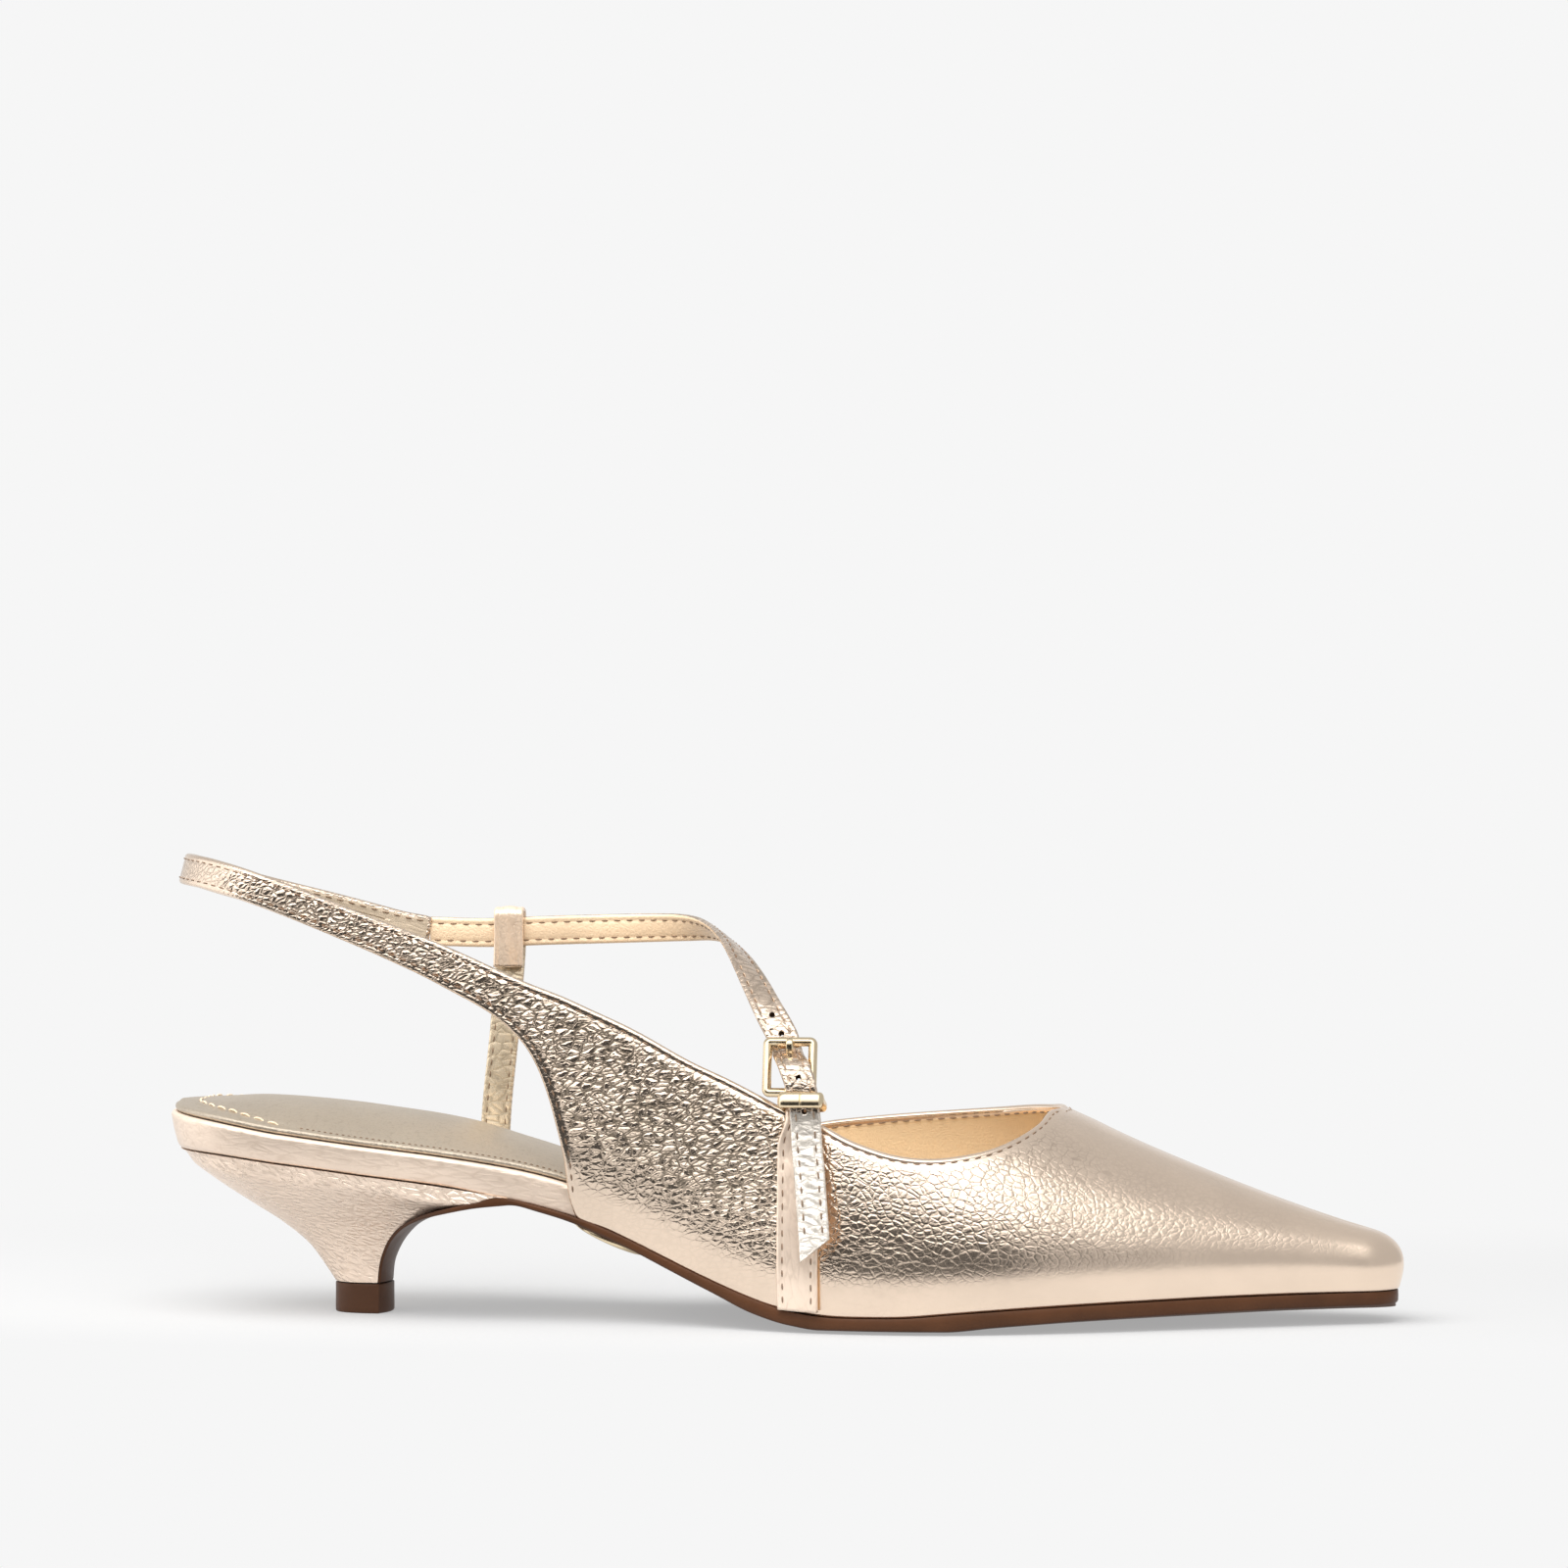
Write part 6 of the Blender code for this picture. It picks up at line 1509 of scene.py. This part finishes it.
# ------------------------------------------------------------------ stage, light, camera
PALE = 0.922
floor_me = bpy.data.meshes.new("floor")
FLOOR = (0.38, 0.1925)
ring = [(math.cos(a) * FLOOR[0], math.sin(a) * FLOOR[1], 0) for a in np.linspace(0, 2 * math.pi, 64, endpoint=False)]
floor_me.from_pydata(ring, [], [tuple(range(64))])
floor = bpy.data.objects.new("floor", floor_me)
bpy.context.scene.collection.objects.link(floor)
floor.location = (0.0, 0.1075, 0.0)
fm = bpy.data.materials.new("floor")
fm.use_nodes = True
ft = fm.node_tree
ft.nodes.clear()
out = ft.nodes.new("ShaderNodeOutputMaterial")
diff = ft.nodes.new("ShaderNodeBsdfDiffuse")
diff.inputs["Color"].default_value = (0.428, 0.428, 0.428, 1)
glow = ft.nodes.new("ShaderNodeEmission")
glow.inputs["Color"].default_value = (1, 1, 1, 1)
glow.inputs["Strength"].default_value = PALE
mix = ft.nodes.new("ShaderNodeMixShader")
tc = ft.nodes.new("ShaderNodeTexCoord")
ln = ft.nodes.new("ShaderNodeVectorMath")
ln.operation = "LENGTH"
mr = ft.nodes.new("ShaderNodeMapRange")
mr.interpolation_type = "SMOOTHSTEP"
mr.inputs["From Min"].default_value, mr.inputs["From Max"].default_value = 0.72, 0.985
mr.inputs["To Min"].default_value, mr.inputs["To Max"].default_value = 0.40, 1.0
fmap = ft.nodes.new("ShaderNodeMapping")
fmap.inputs["Scale"].default_value = (1 / FLOOR[0], 1 / FLOOR[1], 1)
ft.links.new(tc.outputs["Object"], fmap.inputs["Vector"])
ft.links.new(fmap.outputs[0], ln.inputs[0])
ft.links.new(ln.outputs["Value"], mr.inputs["Value"])
# the floor also melts into the backdrop some way behind the shoe
fsep = ft.nodes.new("ShaderNodeSeparateXYZ")
ft.links.new(tc.outputs["Object"], fsep.inputs[0])
rear_fade = ft.nodes.new("ShaderNodeMapRange")
rear_fade.interpolation_type = "SMOOTHSTEP"
rear_fade.inputs["From Min"].default_value, rear_fade.inputs["From Max"].default_value = -0.035, 0.14
rear_fade.inputs["To Min"].default_value, rear_fade.inputs["To Max"].default_value = 0.40, 1.0
ft.links.new(fsep.outputs["Y"], rear_fade.inputs["Value"])
most = ft.nodes.new("ShaderNodeMath")
most.operation = "MAXIMUM"
ft.links.new(mr.outputs["Result"], most.inputs[0])
ft.links.new(rear_fade.outputs["Result"], most.inputs[1])
ft.links.new(most.outputs[0], mix.inputs[0])
ft.links.new(diff.outputs[0], mix.inputs[1])
ft.links.new(glow.outputs[0], mix.inputs[2])
ft.links.new(mix.outputs[0], out.inputs["Surface"])
floor_me.materials.append(fm)

world = bpy.data.worlds.new("studio")
bpy.context.scene.world = world
world.use_nodes = True
wt = world.node_tree
wt.nodes.clear()
w_out = wt.nodes.new("ShaderNodeOutputWorld")
seen = wt.nodes.new("ShaderNodeBackground")
seen.inputs["Color"].default_value = (PALE, PALE, PALE, 1)
lit = wt.nodes.new("ShaderNodeBackground")
tcw = wt.nodes.new("ShaderNodeTexCoord")
sep = wt.nodes.new("ShaderNodeSeparateXYZ")
wt.links.new(tcw.outputs["Generated"], sep.inputs[0])


def wmath(op, a, b=0.0):
    n = wt.nodes.new("ShaderNodeMath")
    n.operation = op
    for s_, v_ in zip(n.inputs, (a, b)):
        if isinstance(v_, (int, float)):
            s_.default_value = v_
        else:
            wt.links.new(v_, s_)
    return n.outputs[0]


arc = wmath("DIVIDE", wmath("ARCTAN2", wmath("MAXIMUM", sep.outputs["Z"], 0.0), wmath("MULTIPLY", sep.outputs["Y"], -1.0)), math.pi)
ramp = wt.nodes.new("ShaderNodeValToRGB")
ramp.color_ramp.interpolation = "EASE"
# share of the half turn from the horizon behind the camera, over the top, to the backdrop; brightness
SKY = [(0.0, 0.02), (0.052, 0.03), (0.094, 0.62), (0.128, 1.65), (0.178, 2.4), (0.32, 2.4), (0.375, 1.2), (0.445, 0.64), (0.61, 0.54), (0.78, 0.56), (1.0, 0.8)]
while len(ramp.color_ramp.elements) < len(SKY):
    ramp.color_ramp.elements.new(0.5)
for e, (at, b) in zip(ramp.color_ramp.elements, SKY):
    e.position = at
    e.color = (b / 2.5, b / 2.5, b / 2.5, 1)
wt.links.new(wmath("MAXIMUM", arc, 0.0), ramp.inputs[0])
# towards the toe the studio is dim; behind the heel stands a second, softer panel
sky = ramp.outputs["Color"]
for way, a_, b_, grey in ((1.0, 0.45, 0.67, 0.21), (-1.0, 0.82, 0.96, 0.50)):
    side = wt.nodes.new("ShaderNodeMapRange")
    side.interpolation_type = "SMOOTHSTEP"
    side.inputs["From Min"].default_value, side.inputs["From Max"].default_value = a_, b_
    wt.links.new(wmath("MULTIPLY", sep.outputs["X"], way), side.inputs["Value"])
    mixw = wt.nodes.new("ShaderNodeMix")
    mixw.data_type = "RGBA"
    wt.links.new(side.outputs["Result"], mixw.inputs[0])
    wt.links.new(sky, mixw.inputs[6])
    mixw.inputs[7].default_value = (grey, grey, grey, 1)
    sky = mixw.outputs[2]
wt.links.new(sky, lit.inputs["Color"])
lit.inputs["Strength"].default_value = 2.5
path_node = wt.nodes.new("ShaderNodeLightPath")
mixs = wt.nodes.new("ShaderNodeMixShader")
wt.links.new(path_node.outputs["Is Camera Ray"], mixs.inputs[0])
wt.links.new(lit.outputs[0], mixs.inputs[1])
wt.links.new(seen.outputs[0], mixs.inputs[2])
wt.links.new(mixs.outputs[0], w_out.inputs["Surface"])


def area(name, at, to, size, watts, colour=(1, 1, 1)):
    li = bpy.data.lights.new(name, "AREA")
    li.shape = "RECTANGLE"
    li.size, li.size_y = size
    li.energy = watts
    li.color = colour
    ob = bpy.data.objects.new(name, li)
    bpy.context.scene.collection.objects.link(ob)
    ob.location = at
    ob.rotation_euler = (Vector(to) - Vector(at)).to_track_quat("-Z", "Y").to_euler()
    return ob


key = area("top_light", (-0.26, -0.38, 1.02), (0, 0, 0), (1.3, 0.9), 22.0)
key.visible_glossy = False
fill = area("front_fill", (0.16, -1.2, 0.36), (0, 0, 0.05), (0.9, 0.4), 3.0)
fill.visible_glossy = False

cam_data = bpy.data.cameras.new("camera")
cam = bpy.data.objects.new("camera", cam_data)
bpy.context.scene.collection.objects.link(cam)
AZ = math.radians(6.5)
cam.location = (0.11931, -1.04164, 0.1132)
cam.rotation_euler = Vector((-math.sin(AZ), math.cos(AZ), 0)).to_track_quat("-Z", "Y").to_euler()
cam_data.sensor_width = 36
cam_data.lens = 113.15
cam_data.clip_start, cam_data.clip_end = 0.05, 30
bpy.context.scene.camera = cam
bpy.context.scene.view_settings.view_transform = "Standard"
